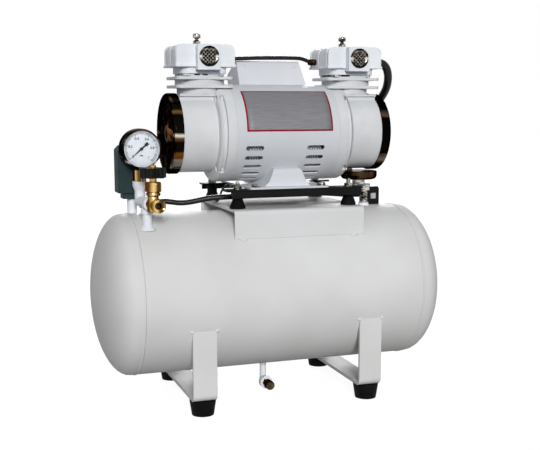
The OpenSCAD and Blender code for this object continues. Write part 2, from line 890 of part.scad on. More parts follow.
module windings() {
  inner = core_bore / 2 + 3 * gap;
  outer = clamp_r - clamp_d;
  length = (slot_pitch - core_l + slot_l) / 2;
  edge = length / 4;
  color("#a4562a")
    for (side = [-1, 1])
      translate(pump)
        mirror([side < 0 ? 1 : 0, 0, 0])
          rotate([0, 90, 0])
            translate([0, 0, core_l / 2])
              rotate_extrude($fn = fine)
                polygon(concat([[inner, 0], [outer, 0]],
                  arc(outer - edge, length - edge, edge, 0, 90, 4),
                  arc(inner + edge, length - edge, edge, 90, 180, 4)));
}

module rotor() {
  color("dimgray")
    translate(pump)
      difference() {
        union() {
          rod_x(-core_l / 2, core_l, core_bore / 2 - air_gap, $fn = fine);
          rod_x(-core_l / 2 - shaft_d / 2, core_l + shaft_d, core_bore / 2 - shaft_d / 2);
        }
        rod_x(-core_l, 2 * core_l, shaft_d / 2);
      }
}

shaft_tip = 2;
module shaft() {
  color("silver")
    translate(pump)
      rod_x(-cowl_end + shaft_tip, 2 * (cowl_end - shaft_tip), shaft_d / 2);
}

module bearings() {
  color("lightgray")
    for (side = [-1, 1])
      at_end(side)
        difference() {
          rod_x(chamber_x - bearing_w, bearing_w, bearing_d / 2);
          rod_x(chamber_x - bearing_w - over, bearing_w + 2 * over, shaft_d / 2 + run_gap);
        }
}

// End casting: bell, barrel and cylinder pad in one piece
relief_start = bell_end - bell_round / 2 - relief_w;
module bell_profile() {
  polygon(concat([[0, sleeve_end], [motor_r, sleeve_end]],
    arc(motor_r - bell_round, bell_end - bell_round, bell_round, 0, 90, 6),
    [[0, bell_end]]));
}

module relief_arcs() {
  for (front = [0, 180])
    rotate([front, 0, 0])
      intersection() {
        rotate([0, 90, 0])
          translate([0, 0, relief_start])
            tube(relief_w, motor_r + over, motor_r - relief_depth, $fn = fine);
        along_x(relief_start - over, relief_w + 2 * over)
          polygon([[0, 0],
            [-2 * motor_r * cos(clamp_angle), 2 * motor_r * sin(clamp_angle)],
            [-2 * motor_r, 0],
            [-2 * motor_r * cos(clamp_angle), -2 * motor_r * sin(clamp_angle)]]);
      }
}

pad_w = 60;
pad_edge = 3;
module crankcase(side) {
  pad_l = barrel_end - bell_end - gap;
  pocket_r = cyl_d / 2 + gap + gap / 3;
  color("whitesmoke")
    at_end(side)
      difference() {
        union() {
          rotate([0, 90, 0])
            rotate_extrude($fn = fine)
              bell_profile();
          rod_x(bell_end - over, barrel_l + over, barrel_d / 2, $fn = fine);
          translate([sleeve_end + bell_cup, -pad_w / 2 + pad_edge, pad_z - barrel_d / 4])
            cube([barrel_end - sleeve_end - bell_cup - gap, pad_w - 2 * pad_edge, barrel_d / 4]);
          translate([sleeve_end + bell_cup, -pad_w / 2, pad_z - pad_edge])
            cube([barrel_end - sleeve_end - bell_cup - gap, pad_w, pad_edge]);
        }
        rod_x(chamber_x, cowl_end, barrel_d / 2 - barrel_wall, $fn = fine);
        rod_x(sleeve_end - over, bell_cup + over, motor_r - relief_depth, $fn = fine);
        rod_x(sleeve_end, barrel_l, shaft_d / 2 + shaft_hole_gap);
        rod_x(chamber_x - bearing_w, bearing_w + over, bearing_d / 2);
        translate([cyl_x, 0, pad_z - barrel_d / 7])
          cylinder(h = barrel_d / 7 + over, d = bore_d, $fn = fine);
        translate([cyl_x, 0, pad_z])
          cylinder(h = motor_r, r = pocket_r, $fn = fine);
        relief_arcs();
        at_clamps() {
          rod_x(sleeve_end - over, bell_l, clamp_d / 2 + bolt_gap);
          rod_x(relief_start, bell_l, clamp_head_d / 2 + bolt_gap);
        }
      }
}

module crankcase_left() {
  crankcase(-1);
}

module crankcase_right() {
  crankcase(1);
}

module clamp_bolts() {
  color("silver")
    translate(pump)
      at_clamps() {
        rod_x(-relief_start, 2 * relief_start, clamp_d / 2);
        for (side = [-1, 1])
          mirror([side < 0 ? 1 : 0, 0, 0])
            rod_x(relief_start, clamp_head_h, clamp_head_d / 2);
      }
}

// Finned cylinders, their fins cut back round the end bells
fin_round = 7;
module cylinders() {
  color("whitesmoke")
    for (side = [-1, 1])
      at_cylinder(side)
        difference() {
          union() {
            translate([0, 0, pad_z])
              cylinder(h = cyl_h, d = cyl_low_d, $fn = fine);
            translate([0, 0, pad_z + fin_low + fin_t])
              cylinder(h = cyl_h - fin_low - fin_t, d = cyl_d, $fn = fine);
            difference() {
              for (z = [fin_low, fin_high])
                translate([0, 0, pad_z + z])
                  pad(fin_l, fin_w, fin_t, fin_round);
              translate([-side * cyl_x, 0, 0])
                rod_x(-bell_end - gap, 2 * bell_end + 2 * gap, motor_r + gap, $fn = fine);
            }
          }
          translate([0, 0, pad_z - over])
            cylinder(h = cyl_h + 2 * over, d = bore_d, $fn = fine);
          at_head_bolts()
            translate([0, 0, pad_z + fin_high - over])
              cylinder(h = cyl_h, r = head_bolt_d / 2 + bolt_gap);
        }
}

// Head bolts, four to a head
head_bolt_d = 5;
head_bolt_x = 50;
head_bolt_y = 46;
head_bolt_head = 8;
head_sink = 5;
module at_head_bolts() {
  for (sx = [-1, 1], sy = [-1, 1])
    translate([sx * head_bolt_x / 2, sy * head_bolt_y / 2, 0])
      children();
}

module head_bolts() {
  color("silver")
    for (side = [-1, 1])
      at_cylinder(side)
        at_head_bolts() {
          translate([0, 0, pad_z + fin_high])
            cylinder(h = head_top - head_sink - pad_z - fin_high, d = head_bolt_d);
          translate([0, 0, head_top - head_sink])
            cylinder(h = head_sink - over, d = head_bolt_head);
        }
}

module head_gaskets() {
  color("dimgray")
    for (side = [-1, 1])
      at_cylinder(side)
        translate([0, 0, cyl_top])
          difference() {
            pad(valve_plate_w - 2 * pad_edge, valve_plate_w - 2 * pad_edge, gasket_t, bell_round);
            translate([0, 0, -over])
              cylinder(h = gasket_t + 2 * over, d = bore_d, $fn = fine);
            at_head_bolts()
              translate([0, 0, -over])
                cylinder(h = gasket_t + 2 * over, r = head_bolt_d / 2 + bolt_gap);
          }
}

// Valve plate with an inlet and an outlet port
port_d = 8;
port_pitch = 24;
module valve_plates() {
  color("whitesmoke")
    for (side = [-1, 1])
      at_cylinder(side)
        translate([0, 0, valve_z])
          difference() {
            pad(valve_plate_w, valve_plate_w, valve_plate_h, 2 * bell_round);
            at_head_bolts()
              translate([0, 0, -over])
                cylinder(h = valve_plate_h + 2 * over, r = head_bolt_d / 2 + bolt_gap);
            for (sy = [-1, 1])
              translate([0, sy * port_pitch / 2, -over])
                cylinder(h = valve_plate_h + 2 * over, d = port_d);
          }
}

// Reeds: one under the plate lets air in, one over the outlet port lets it out
reed_t = 0.4;
reed_l = 30;
module reed_valves() {
  reed_w = port_d + 4 * reed_t;
  color("lightsteelblue")
    for (side = [-1, 1])
      at_cylinder(side) {
        translate([0, -port_pitch / 2, valve_z - reed_t])
          pad(reed_l, reed_w, reed_t, reed_w / 3);
        translate([0, port_pitch / 2, head_z])
          pad(reed_l, reed_w, reed_t, reed_w / 3);
      }
}

// Cylinder head: a finned block with the intake boss on its front
boss_x = 1.5;
boss_low = 4;
lip_h = 3;
lip_out = 1.2;
boss_round = 3.5;
filter_t = 1.5;
intake_depth = 9;
port_y = 13;
port_z = 12.6;

// Upright outline with two round upper corners, drawn as [x, z]
module arch(w, h, r) {
  steps = 6;
  polygon(concat([[-w / 2, 0], [w / 2, 0]],
    arc(w / 2 - r, h - r, r, 0, 90, steps),
    arc(-w / 2 + r, h - r, r, 90, 180, steps)));
}

module head(side) {
  color("whitesmoke")
    at_cylinder(side)
      translate([0, 0, head_z])
        difference() {
          union() {
            along_y(head_w)
              arch(head_l, head_h, head_round);
            along_y(head_w + 2 * lip_out)
              translate([-head_l / 2 - lip_out, 0])
                square([head_l + 2 * lip_out, lip_h]);
            translate([boss_x, -head_w / 2 - boss_out / 2 + boss_round / 2, -boss_low])
              along_y(boss_out + boss_round)
                arch(boss_w, boss_h, boss_round);
          }
          translate([-head_l, -head_w / 2, -2 * boss_low])
            cube([2 * head_l, head_w + boss_out, 2 * boss_low]);
          for (k = [-1:1])
            translate([0, k * head_slot_pitch, 0])
              difference() {
                along_y(head_slot_w)
                  translate([-head_l, lip_h])
                    square([2 * head_l, head_h]);
                along_y(2 * head_slot_w)
                  arch(head_l - 2 * head_slot_d, head_h - head_slot_d, head_round);
              }
          at_head_bolts() {
            translate([0, 0, -over])
              cylinder(h = head_h + 2 * over, r = head_bolt_d / 2 + bolt_gap);
            translate([0, 0, head_h - head_sink])
              cylinder(h = head_sink + over, r = head_bolt_head / 2 + bolt_gap);
          }
          translate([boss_x, 0, boss_h / 2 - boss_low + over])
            rod_y(-head_w / 2 - boss_out - over, filter_t + over, filter_d / 2 - filter_t);
          translate([boss_x, 0, boss_h / 2 - boss_low + over])
            rod_y(-head_w / 2 - boss_out - over, intake_depth, filter_d / 2 - 3 * filter_t);
          translate([0, port_pitch / 2, -over])
            pad(reed_l + over, port_d + 4 * reed_t + over, 2 * reed_t + over + gap, port_d / 3);
        }
}

module head_left() {
  head(-1);
}

module head_right() {
  head(1);
}

// Places the two intake filters, Y pointing out of the boss's face
module at_filters() {
  for (side = [-1, 1])
    at_cylinder(side)
      translate([boss_x, -head_w / 2 - boss_out, head_z + boss_h / 2 - boss_low + over])
        children();
}

module filter_rims() {
  color("silver")
    at_filters()
      rotate([90, 0, 0])
        difference() {
          cylinder(h = filter_t, d = filter_d);
          translate([0, 0, -over])
            cylinder(h = filter_t + 2 * over, r = filter_d / 2 - filter_t);
        }
}

module filter_screens() {
  color("darkgray")
    at_filters()
      rotate([90, 0, 0])
        translate([0, 0, -filter_t])
          difference() {
            cylinder(h = filter_t + filter_t / 2, r = filter_d / 2 - filter_t);
            for (ring = [0:filter_rings], k = [0:max(6 * ring - 1, 0)])
              rotate([0, 0, 60 * k / max(ring, 1)])
                translate([ring * filter_pitch, 0, -over])
                  cylinder(h = 4 * filter_t, d = filter_pitch * 0.6, $fn = 6);
          }
}

// Turned chrome knob on the middle of a head
knob_y = 12;
module head_knobs() {
  r = knob_d / 2;
  color("silver")
    for (side = [-1, 1])
      at_cylinder(side)
        translate([0, knob_y, head_top])
          rotate_extrude()
            polygon(concat(
              [[0, 0], [r * 1.3, 0], [r * 1.3, knob_h * 0.1], [r * 0.95, knob_h * 0.22],
                [r * 0.95, knob_h * 0.36], [r * 0.42, knob_h * 0.5], [r * 0.42, knob_h * 0.56],
                [r, knob_h * 0.66], [r, knob_h * 0.82]],
              arc(r * 0.45, knob_h * 0.82, r * 0.55, 20, 80, 4),
              [[0, knob_h]]));
}

// Chrome cowl ring round each fan
module cowl_rings() {
  r = cowl_d / 2;
  back_r = barrel_d / 2 - barrel_wall;
  color("silver")
    for (side = [-1, 1])
      at_end(side)
        rotate([0, 90, 0])
          translate([0, 0, barrel_end])
            rotate_extrude($fn = fine)
              polygon(concat([[back_r, 0], [r, 0]],
                arc(r - cowl_round, cowl_l - cowl_round, cowl_round, 0, 90, 6),
                [[r - cowl_round - cowl_t, cowl_l], [r - cowl_round - cowl_t, cowl_l - cowl_t]],
                arc(r - cowl_round, cowl_l - cowl_round, cowl_round - cowl_t, 90, 0, 6),
                [[r - cowl_t, cowl_t], [back_r, cowl_t]]));
}

// Cooling fans on the two ends of the shaft
module fans() {
  blade_t = 1.5;
  blade_c = 12;
  hub_r = fan_hub_d / 2;
  middle = barrel_end + cowl_l / 2;
  hub_l = cowl_l - 2 * shaft_tip;
  color("#3a332c")
    for (side = [-1, 1])
      at_end(side)
        difference() {
          union() {
            rod_x(middle - hub_l / 2, hub_l, hub_r);
            for (k = [0:fan_blades - 1])
              rotate([360 * k / fan_blades, 0, 0])
                translate([middle, 0, hub_r - blade_t])
                  rotate([0, 0, 40])
                    translate([-blade_c / 2, -blade_t / 2, 0])
                      cube([blade_c, blade_t, fan_d / 2 - hub_r]);
          }
          rod_x(barrel_end, 2 * cowl_l, shaft_d / 2);
        }
}

// Eccentrics: the left one stands at the top of its stroke, the right one at the bottom
eccentric_d = 24;
module eccentrics() {
  color("dimgray")
    for (side = [-1, 1])
      at_end(side)
        difference() {
          translate([0, 0, -side * crank_e])
            rod_x(cyl_x - rod_t / 2, rod_t, eccentric_d / 2);
          rod_x(cyl_x - rod_t, 2 * rod_t, shaft_d / 2);
        }
}

// Connecting rod in one piece with its piston, upright over its eccentric
eye_wall = 6;
stem_w = 12;
crown_h = 5;
cup_t = 1;
retainer_h = 2.5;
neck_d = 16;
piston_gap = 0.4;
module rod(side) {
  crown_r = bore_d / 2 - crank_e - piston_gap - cup_t;
  crown_z = piston_top - retainer_h - cup_t;
  color("lightgray")
    at_cylinder(side)
      translate([0, 0, -side * crank_e])
        difference() {
          union() {
            rod_x(-rod_t / 2, rod_t, eccentric_d / 2 + run_gap + eye_wall);
            translate([-rod_t / 2, -stem_w / 2, 0])
              cube([rod_t, stem_w, crown_z - crown_h / 2]);
            translate([0, 0, crown_z - crown_h])
              cylinder(h = crown_h, r = crown_r);
            translate([0, 0, crown_z - over])
              cylinder(h = cup_t + 2 * over, d = neck_d);
            translate([0, 0, crown_z + cup_t])
              cylinder(h = retainer_h, r = crown_r - 2 * cup_t);
          }
          rod_x(-rod_t, 2 * rod_t, eccentric_d / 2 + run_gap);
        }
}

module rod_left() {
  rod(-1);
}

module rod_right() {
  rod(1);
}

// Cup seal held between the crown and its retainer
module cup(side) {
  cup_r = bore_d / 2 - crank_e - piston_gap;
  crown_z = piston_top - retainer_h - cup_t;
  color("#d8d2c0")
    at_cylinder(side)
      translate([0, 0, crown_z - side * crank_e])
        difference() {
          cylinder(h = cup_t + retainer_h, r = cup_r);
          translate([0, 0, -over])
            cylinder(h = cup_t + 2 * over, d = neck_d);
          translate([0, 0, cup_t])
            cylinder(h = retainer_h + over, r = cup_r - cup_t);
        }
}

module cup_left() {
  cup(-1);
}

module cup_right() {
  cup(1);
}

// Capacitor box leaning back on the top of the motor
cap_box_x = 2;
cap_edge = 5;
cap_rivet_d = 4;
module at_cap() {
  translate(pump)
    rotate([-cap_lean, 0, 0])
      children();
}

module capacitor_box() {
  inner_w = cap_box_w - 2 * cap_box_wall;
  color("whitesmoke")
    at_cap()
      difference() {
        union() {
          along_x(cap_box_x - cap_box_l / 2, cap_box_l)
            arch(cap_box_w, motor_r + cap_box_h, cap_edge);
          for (sx = [-1, 1])
            translate([cap_box_x + sx * (cap_box_l / 2 - 2 * cap_edge), 0, motor_r + cap_box_h * 0.7])
              rod_y(-cap_box_w / 2 - over, 2 * over, cap_rivet_d / 2);
        }
        translate([cap_box_x - cap_box_l / 2 + cap_box_wall, -inner_w / 2, 0])
          cube([cap_box_l - 2 * cap_box_wall, inner_w, motor_r + cap_box_h - cap_box_wall]);
        rod_x(-cap_box_l, 2 * cap_box_l, motor_r, $fn = fine);
        translate([-cap_box_l, -cap_box_w, -motor_r])
          cube([2 * cap_box_l, 2 * cap_box_w, motor_r + motor_r / 2]);
      }
}

module capacitor() {
  length = cap_box_l * 0.8;
  color("#23262b")
    at_cap()
      translate([cap_box_x, 0, motor_r + seat_gap + capacitor_d / 2])
        rod_x(-length / 2, length, capacitor_d / 2);
}

// Bare rating plate curved round the front of the motor
plate_x = -2.5;
plate_l = 120;
plate_low = 4.5;
plate_high = 59;
plate_t = 0.6;
module rating_plate() {
  inner = motor_r + run_gap;
  color("gainsboro")
    translate(pump)
      intersection() {
        rotate([0, 90, 0])
          translate([0, 0, plate_x - plate_l / 2])
            tube(plate_l, inner + plate_t, inner, $fn = fine);
        along_x(plate_x - plate_l / 2 - over, plate_l + 2 * over)
          polygon([[0, 0], [-2 * motor_r * cos(plate_low), 2 * motor_r * sin(plate_low)],
            [-2 * motor_r, 2 * motor_r],
            [-2 * motor_r * cos(plate_high), 2 * motor_r * sin(plate_high)]]);
      }
}

// Hose between the heads. Its barbs stand on the sides of the heads.
barb_l = 6;
link_z = pump_z + head_z + port_z;
link_drop = 3;
link_left = [pump_x - cyl_x + head_l / 2, pump_y + port_y, link_z];
link_right = [pump_x + cyl_x - head_l / 2, pump_y + port_y, link_z - link_drop];
link_points = [[-51.2, 13, 100.85], [-17.2, 13, 102.35], [30.8, 13, 102.95], [44.8, 13, 102.15],
  [53.8, 13, 99.35]];
link_route = concat([link_left + [barb_l, 0, 0]], [for (p = link_points) pump + p],
  [link_right - [barb_l, 0, 0]]);

module link_hose() {
  color("#151515") {
    translate(link_left)
      rod_x(0, barb_l, link_d * 0.72);
    translate(link_right)
      rod_x(-barb_l, barb_l, link_d * 0.72);
    swept(curve(link_route, 2), link_d / 2, 10);
  }
}

// Hose from the right head round the cowl to the damper drum
hose_y = -14.5;
hose_drop = 4;
hose_start = [pump_x + cyl_x + head_l / 2, pump_y + hose_y, link_z - hose_drop];
hose_end = [drum_x, drum_d / 2 + barb_l, drum_low + drum_h / 2];
hose_points = [[157.8, -14.5, 95.15], [163.8, -13.5, 89.85], [167.8, -11, 81.35], [169.8, -7, 71.35],
  [170.3, 0, 60.35], [168.8, 12, 48.35], [166.3, 28, 36.35], [164.3, 46, 20.35], [161.3, 61.5, 0.35],
  [150.8, 66, -19.65], [140.8, 58, -38.65], [131.3, 42, -53.65], [124.8, 30, -60.05]];
hose_route = concat([hose_start + [barb_l, 0, 0]], [for (p = hose_points) pump + p], [hose_end]);

module discharge_hose() {
  color("#151515") {
    translate(hose_start)
      rod_x(0, barb_l, hose_d * 0.47);
    translate(hose_end)
      rod_y(-barb_l, barb_l, hose_d * 0.35);
    swept(curve(hose_route, 2), hose_d / 2, 12);
  }
}

// Pressed chrome drum with rounded lower edge
module damper_drum() {
  edge = drum_h / 2;
  color("silver")
    translate([drum_x, 0, drum_low])
      rotate_extrude($fn = fine)
        polygon(concat([[0, 0]],
          arc(drum_d / 2 - edge, edge, edge, 270, 360, 6),
          arc(drum_d / 2 - edge / 4, drum_h - edge / 4, edge / 4, 0, 90, 3),
          [[0, drum_h]]));
}

// Chrome block under the drum, and the ribbed nipple from it down to the receiver
pipe_d = 12;
block_h = 9;
block_w = 18;
neck_h = 7;
pipe_ribs = 4;
module delivery_pipe() {
  low = drum_low - neck_h - block_h;
  foot = top_z + inlet_h;
  pitch = (low - foot) / pipe_ribs;
  color("silver") {
    translate([drum_x, 0, low + block_h])
      hex(neck_h, pipe_d * 1.4);
    translate([drum_x - pipe_d, 0, low])
      hex(block_h, pipe_d * 0.9);
    translate([drum_x - pipe_d, -block_w / 2, low])
      cube([pipe_x - drum_x + pipe_d, block_w, block_h]);
    translate([pipe_x, 0, low])
      hex(block_h, pipe_d * 1.5);
    translate([pipe_x, 0, foot])
      cylinder(h = low - foot, d = pipe_d * 0.85);
    for (k = [0:pipe_ribs - 1])
      translate([pipe_x, 0, foot + pitch * k])
        cylinder(h = pitch / 2, d = pipe_d);
  }
}

// Junction box on the receiver, with its cable entry on the left
jbox_edge = 2;
entry_l = 4;
cable_end = [jbox_x - jbox_l / 2 - entry_l, jbox_y, top_z + jbox_z - jbox_w / 2];
module junction_box() {
  top = top_z + jbox_z;
  low = axis_h + sqrt(tank_r * tank_r - pow(jbox_y + jbox_w / 2, 2));
  color("#202224")
    difference() {
      union() {
        translate([jbox_x, jbox_y, low - over])
          pad(jbox_l, jbox_w, top - low + over - jbox_edge, jbox_edge);
        translate([jbox_x, jbox_y, top - 2 * jbox_edge])
          pad(jbox_l - jbox_edge, jbox_w - jbox_edge, 2 * jbox_edge, jbox_edge);
        translate(cable_end)
          rod_x(0, entry_l + jbox_edge, cable_d * 0.7);
      }
      tank_body(tank_r);
    }
}

// Cable from the pressure switch, between the rails, to the junction box
gland_h = 4;
gland = [switch_x + switch_l * 0.433, switch_y, top_z + switch_z - gland_h];
cable_points = [[-174.2, 9, 15.85], [-172, 9, 9.85], [-166, 8, 6.85], [-159, 6, 8.85], [-151, 5, 12.85],
  [-142, 4, 14.45], [-133, 2, 13.65], [-122, -2, 12.45], [-110, -5, 13.25], [-98, -8, 15.45],
  [-86, -11, 17.85], [-74, -13, 19.05], [-60, -15, 19.65], [-40, -16, 20.05], [-14, -13, 20.25],
  [14, -9, 20.25], [42, -4, 20.05], [68, 2, 19.25], [92, 9, 17.85], [112, 15, 15.85], [130, 20, 13.85],
  [142, 21, 13.35]];
cable_route = concat([gland], [for (p = cable_points) [0, 0, top_z] + p], [cable_end]);
module switch_cable() {
  color("#151515")
    swept(cable_route, cable_d / 2, 10);
}

// Earth wire from under the motor foot to the saddle, with a ring lug at each end
earth_lug = 7;
earth_points = [[-41, 37, 23.35], [-46, 37, 22.85], [-51, 37, 17.85], [-54.5, 37, 9.85], [-57.5, 36, 3.85],
  [-61, 35, 1.85]];
earth_route = [for (p = earth_points) [0, 0, saddle_z] + p];
module earth_wire() {
  top = earth_route[0];
  end = earth_route[len(earth_route) - 1];
  color("darkgreen") {
    swept(curve(earth_route, 2), earth_d / 2, 8);
    translate([top[0] + earth_d, top[1], rail_z - earth_d])
      cylinder(h = earth_d, d = earth_lug);
    translate([end[0], end[1], saddle_z])
      cylinder(h = earth_d, d = earth_lug);
  }
}

// White pipe tee turned on its upright, with an elbow up to the gauge behind it
module at_tee() {
  translate([tee_x, tee_y, top_z + tee_h])
    rotate([0, 0, tee_turn])
      children();
}

collar_h = 6;
tee_front = 15;
elbow_top = 26;
tee_bore = 7;
module pipe_tee() {
  r = tee_d / 2;
  color("white")
    at_tee()
      difference() {
        union() {
          translate([0, 0, -tee_d])
            cylinder(h = tee_d, r = r);
          translate([0, 0, -tee_d])
            cylinder(h = collar_h, r = r + over);
          sphere(r = r);
          rod_y(-tee_front, tee_front + tee_run, r);
          rod_y(-tee_front, collar_h, collar_d / 2);
          translate([0, tee_run, 0])
            sphere(r = r);
          translate([0, tee_run, 0])
            cylinder(h = elbow_top, r = r);
          translate([0, tee_run, elbow_top - collar_h])
            cylinder(h = collar_h, d = collar_d);
          translate([0, tee_run, elbow_top - 2 * collar_h])
            cylinder(h = collar_h, d1 = tee_d, d2 = collar_d);
        }
        translate([0, 0, -tee_d - over])
          cylinder(h = tee_d + over, d = tee_bore);
        rod_y(-tee_front - over, tee_front + tee_run + over, tee_bore / 2);
        translate([0, tee_run, 0])
          cylinder(h = elbow_top + over, d = tee_bore);
      }
}

// Gauge, square to the front, over the tee's elbow
gauge_x = tee_x - tee_run * sin(tee_turn);
gauge_y = tee_y + tee_run * cos(tee_turn);
gauge_r = gauge_d / 2;
gauge_behind = 7;
gauge_face = gauge_behind - gauge_depth;
bezel_w = 2.8;
bezel_l = 8;
bezel_step = 0.8;
window_r = gauge_r - bezel_w;
dial_in = 6;
dial_t = 1;
glass_in = 1.5;
glass_t = 1.2;
needle_t = 0.6;
needle_gap = 0.8;
pin_d = 1.6;
module at_gauge() {
  translate([gauge_x, gauge_y, top_z + gauge_h])
    children();
}

module gauge_case() {
  rim_r = gauge_r - bezel_step;
  seat_r = window_r + bezel_w / 3;
  front = -gauge_face;
  color("silver")
    at_gauge()
      difference() {
        union() {
          rotate([90, 0, 0])
            rotate_extrude($fn = fine)
              polygon(concat([[0, -gauge_behind], [gauge_r - bezel_w, -gauge_behind]],
                arc(gauge_r - bezel_w, bezel_w - gauge_behind, bezel_w, 270, 360, 5),
                [[gauge_r, front - bezel_l], [rim_r, front - bezel_l]],
                arc(rim_r - glass_in, front - glass_in, glass_in, 0, 90, 4),
                [[0, front]]));
          translate([0, 0, tee_h + elbow_top + adapter_h - gauge_h])
            cylinder(h = gauge_h - tee_h - elbow_top - adapter_h - window_r, d = tee_bore + bezel_w);
        }
        rod_y(gauge_face - over, glass_in + over, window_r, $fn = fine);
        rod_y(gauge_face + glass_in, dial_in + dial_t - glass_in, seat_r, $fn = fine);
        rod_y(gauge_face + glass_in, gauge_depth - glass_in - bezel_w, seat_r - bezel_w / 2, $fn = fine);
      }
}

module gauge_dial() {
  color("white")
    at_gauge()
      difference() {
        rod_y(gauge_face + dial_in, dial_t, window_r + bezel_w / 3, $fn = fine);
        rod_y(gauge_face, gauge_depth, pin_d / 2 + run_gap, $fn = small);
      }
}

module gauge_glass() {
  color("lightcyan", 0.35)
    at_gauge()
      rod_y(gauge_face + glass_in, glass_t, window_r + bezel_w / 3, $fn = fine);
}

// Needle at zero, pointing down to the left, with its broad tail past the pin
needle_zero = 221;
needle_share = 0.84;
tail_share = 0.5;
module gauge_needle() {
  y = gauge_face + dial_in - needle_gap;
  tip = window_r * needle_share;
  tail = window_r * tail_share;
  wide = window_r * 0.045;
  color("black")
    at_gauge() {
      translate([0, y, 0])
        rotate([90, 0, 0])
          rotate([0, 0, needle_zero])
            linear_extrude(height = needle_t)
              polygon([[tip, 0], [0, wide], [-tail / 2, wide], [-tail * 0.7, 2 * wide],
                [-tail, 2 * wide], [-tail, -2 * wide], [-tail * 0.7, -2 * wide],
                [-tail / 2, -wide], [0, -wide]]);
      rod_y(y - 2 * needle_t, 2 * needle_t, 2 * wide, $fn = small);
      rod_y(y, needle_gap + 2 * dial_t, pin_d / 2, $fn = small);
    }
}

// Brass: the stopcock on the front of the tee, and the adapter under the gauge
module at_cock() {
  at_tee()
    translate([0, -cock_run, 0])
      children();
}

body_d = 16;
seat_low = 9;
neck_top = 11;
ring_h = 5;
bonnet_h = 13;
bonnet_top = neck_top + ring_h + bonnet_h;
spindle_d = 6;
shank_d = 13;
nut_d = 18;
nut_l = 8;
nut_end = 48;
adapter_h = 15;
adapter_w = 15.4;
module brass_fittings() {
  nut_y = cock_run - nut_end;
  color("goldenrod") {
    at_cock()
      difference() {
        union() {
          translate([0, 0, -seat_low])
            cylinder(h = seat_low + neck_top, d = body_d);
          translate([0, 0, neck_top])
            cylinder(h = ring_h, d = body_d + 2 * over);
          translate([0, 0, neck_top + ring_h])
            hex(bonnet_h, body_d + 2 * over);
          rod_y(nut_y, cock_run - tee_front - nut_y, shank_d / 2);
          rod_y(nut_y, nut_l, nut_d / 2);
        }
        rod_y(nut_y - over, outlet_l + over, outlet_d / 2);
        rod_y(nut_y, cock_run - tee_front - nut_y + over, tee_bore / 2);
        translate([0, 0, -seat_low / 2])
          cylinder(h = seat_low / 2 + neck_top, d = spindle_d + 2 * over);
        cylinder(h = bonnet_top + over, r = spindle_d / 2 + run_gap);
      }
    translate([gauge_x, gauge_y, top_z + tee_h + elbow_top])
      difference() {
        hex(adapter_h, adapter_w);
        translate([0, 0, -over])
          cylinder(h = adapter_h + 2 * over, d = tee_bore);
      }
  }
}

// Spindle: seats in the body, carries the wheel between a shoulder and a top screw
wheel_z = bonnet_top + 5;
module spindle() {
  shoulder = wheel_z - bonnet_top - 2 * gap;
  color("goldenrod")
    at_cock() {
      cylinder(h = wheel_z + wheel_h + gap, d = spindle_d);
      translate([0, 0, bonnet_top + gap])
        cylinder(h = shoulder, d = spindle_d * 1.5);
      translate([0, 0, wheel_z + wheel_h + gap])
        cylinder(h = spindle_d / 2, d = spindle_d * 1.4);
    }
}

module handwheel() {
  lobe_r = wheel_d / 7;
  color("#151515")
    at_cock()
      translate([0, 0, wheel_z])
        difference() {
          union() {
            cylinder(h = wheel_h, r = wheel_d / 2 - lobe_r * 0.8);
            for (k = [0:wheel_lobes - 1])
              rotate([0, 0, 360 * k / wheel_lobes])
                translate([wheel_d / 2 - lobe_r, 0, 0])
                  cylinder(h = wheel_h, r = lobe_r, $fn = small);
          }
          translate([0, 0, -over])
            cylinder(h = wheel_h + 2 * over, r = spindle_d / 2 + run_gap);
        }
}

// Pressure switch: chamfered cover over its base, on the switch pipe
switch_base_h = 8;
switch_edge = 6;
module pressure_switch() {
  half = switch_l / 2;
  shoulder = switch_h - switch_edge;
  low = top_z + switch_z;
  color("#4d5c60")
    union() {
      translate([switch_x, switch_y, low])
        intersection() {
          pad(switch_l, switch_w, switch_h, switch_edge / 2);
          along_y(switch_w)
            polygon([[-half, 0], [half, 0], [half, shoulder], [half - switch_edge, switch_h],
              [switch_edge - half, switch_h], [-half, shoulder]]);
        }
      translate([switch_x, switch_y, low - switch_base_h])
        pad(switch_l * 0.6, switch_w * 0.7, switch_base_h, switch_edge / 2);
      translate(gland)
        cylinder(h = gland_h, d = cable_d * 1.3);
    }
}

tank_shell();
tank_end_left();
tank_end_right();
tank_sockets();
leg_left();
leg_right();
rubber_feet();
foot_screws();
saddle();
rubber_mounts();
base_rails();
base_bolts();
motor_foot();
motor_shell();
stator_core();
windings();
crankcase_left();
crankcase_right();
bearings();
clamp_bolts();
cylinders();
head_gaskets();
valve_plates();
reed_valves();
head_left();
head_right();
head_bolts();
head_knobs();
filter_rims();
filter_screens();
cowl_rings();
capacitor_box();
capacitor();
rating_plate();
link_hose();
discharge_hose();
damper_drum();
delivery_pipe();
junction_box();
switch_cable();
earth_wire();
shaft();
rotor();
eccentrics();
fans();
rod_left();
rod_right();
cup_left();
cup_right();
pipe_tee();
gauge_case();
gauge_dial();
gauge_glass();
gauge_needle();
brass_fittings();
spindle();
handwheel();
pressure_switch();
drain_cock();
drain_knob();
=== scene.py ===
# Looks for the twin-head oil-free compressor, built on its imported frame.
# X runs along the receiver, -Y is the front, the floor is z = 0.
# Sizes in the dictionaries are millimetres and degrees, colours are screen values from 0 to 255.
import json
from math import cos, pi, radians, sin, sqrt

import bmesh
import bpy
from mathutils import Matrix, Vector

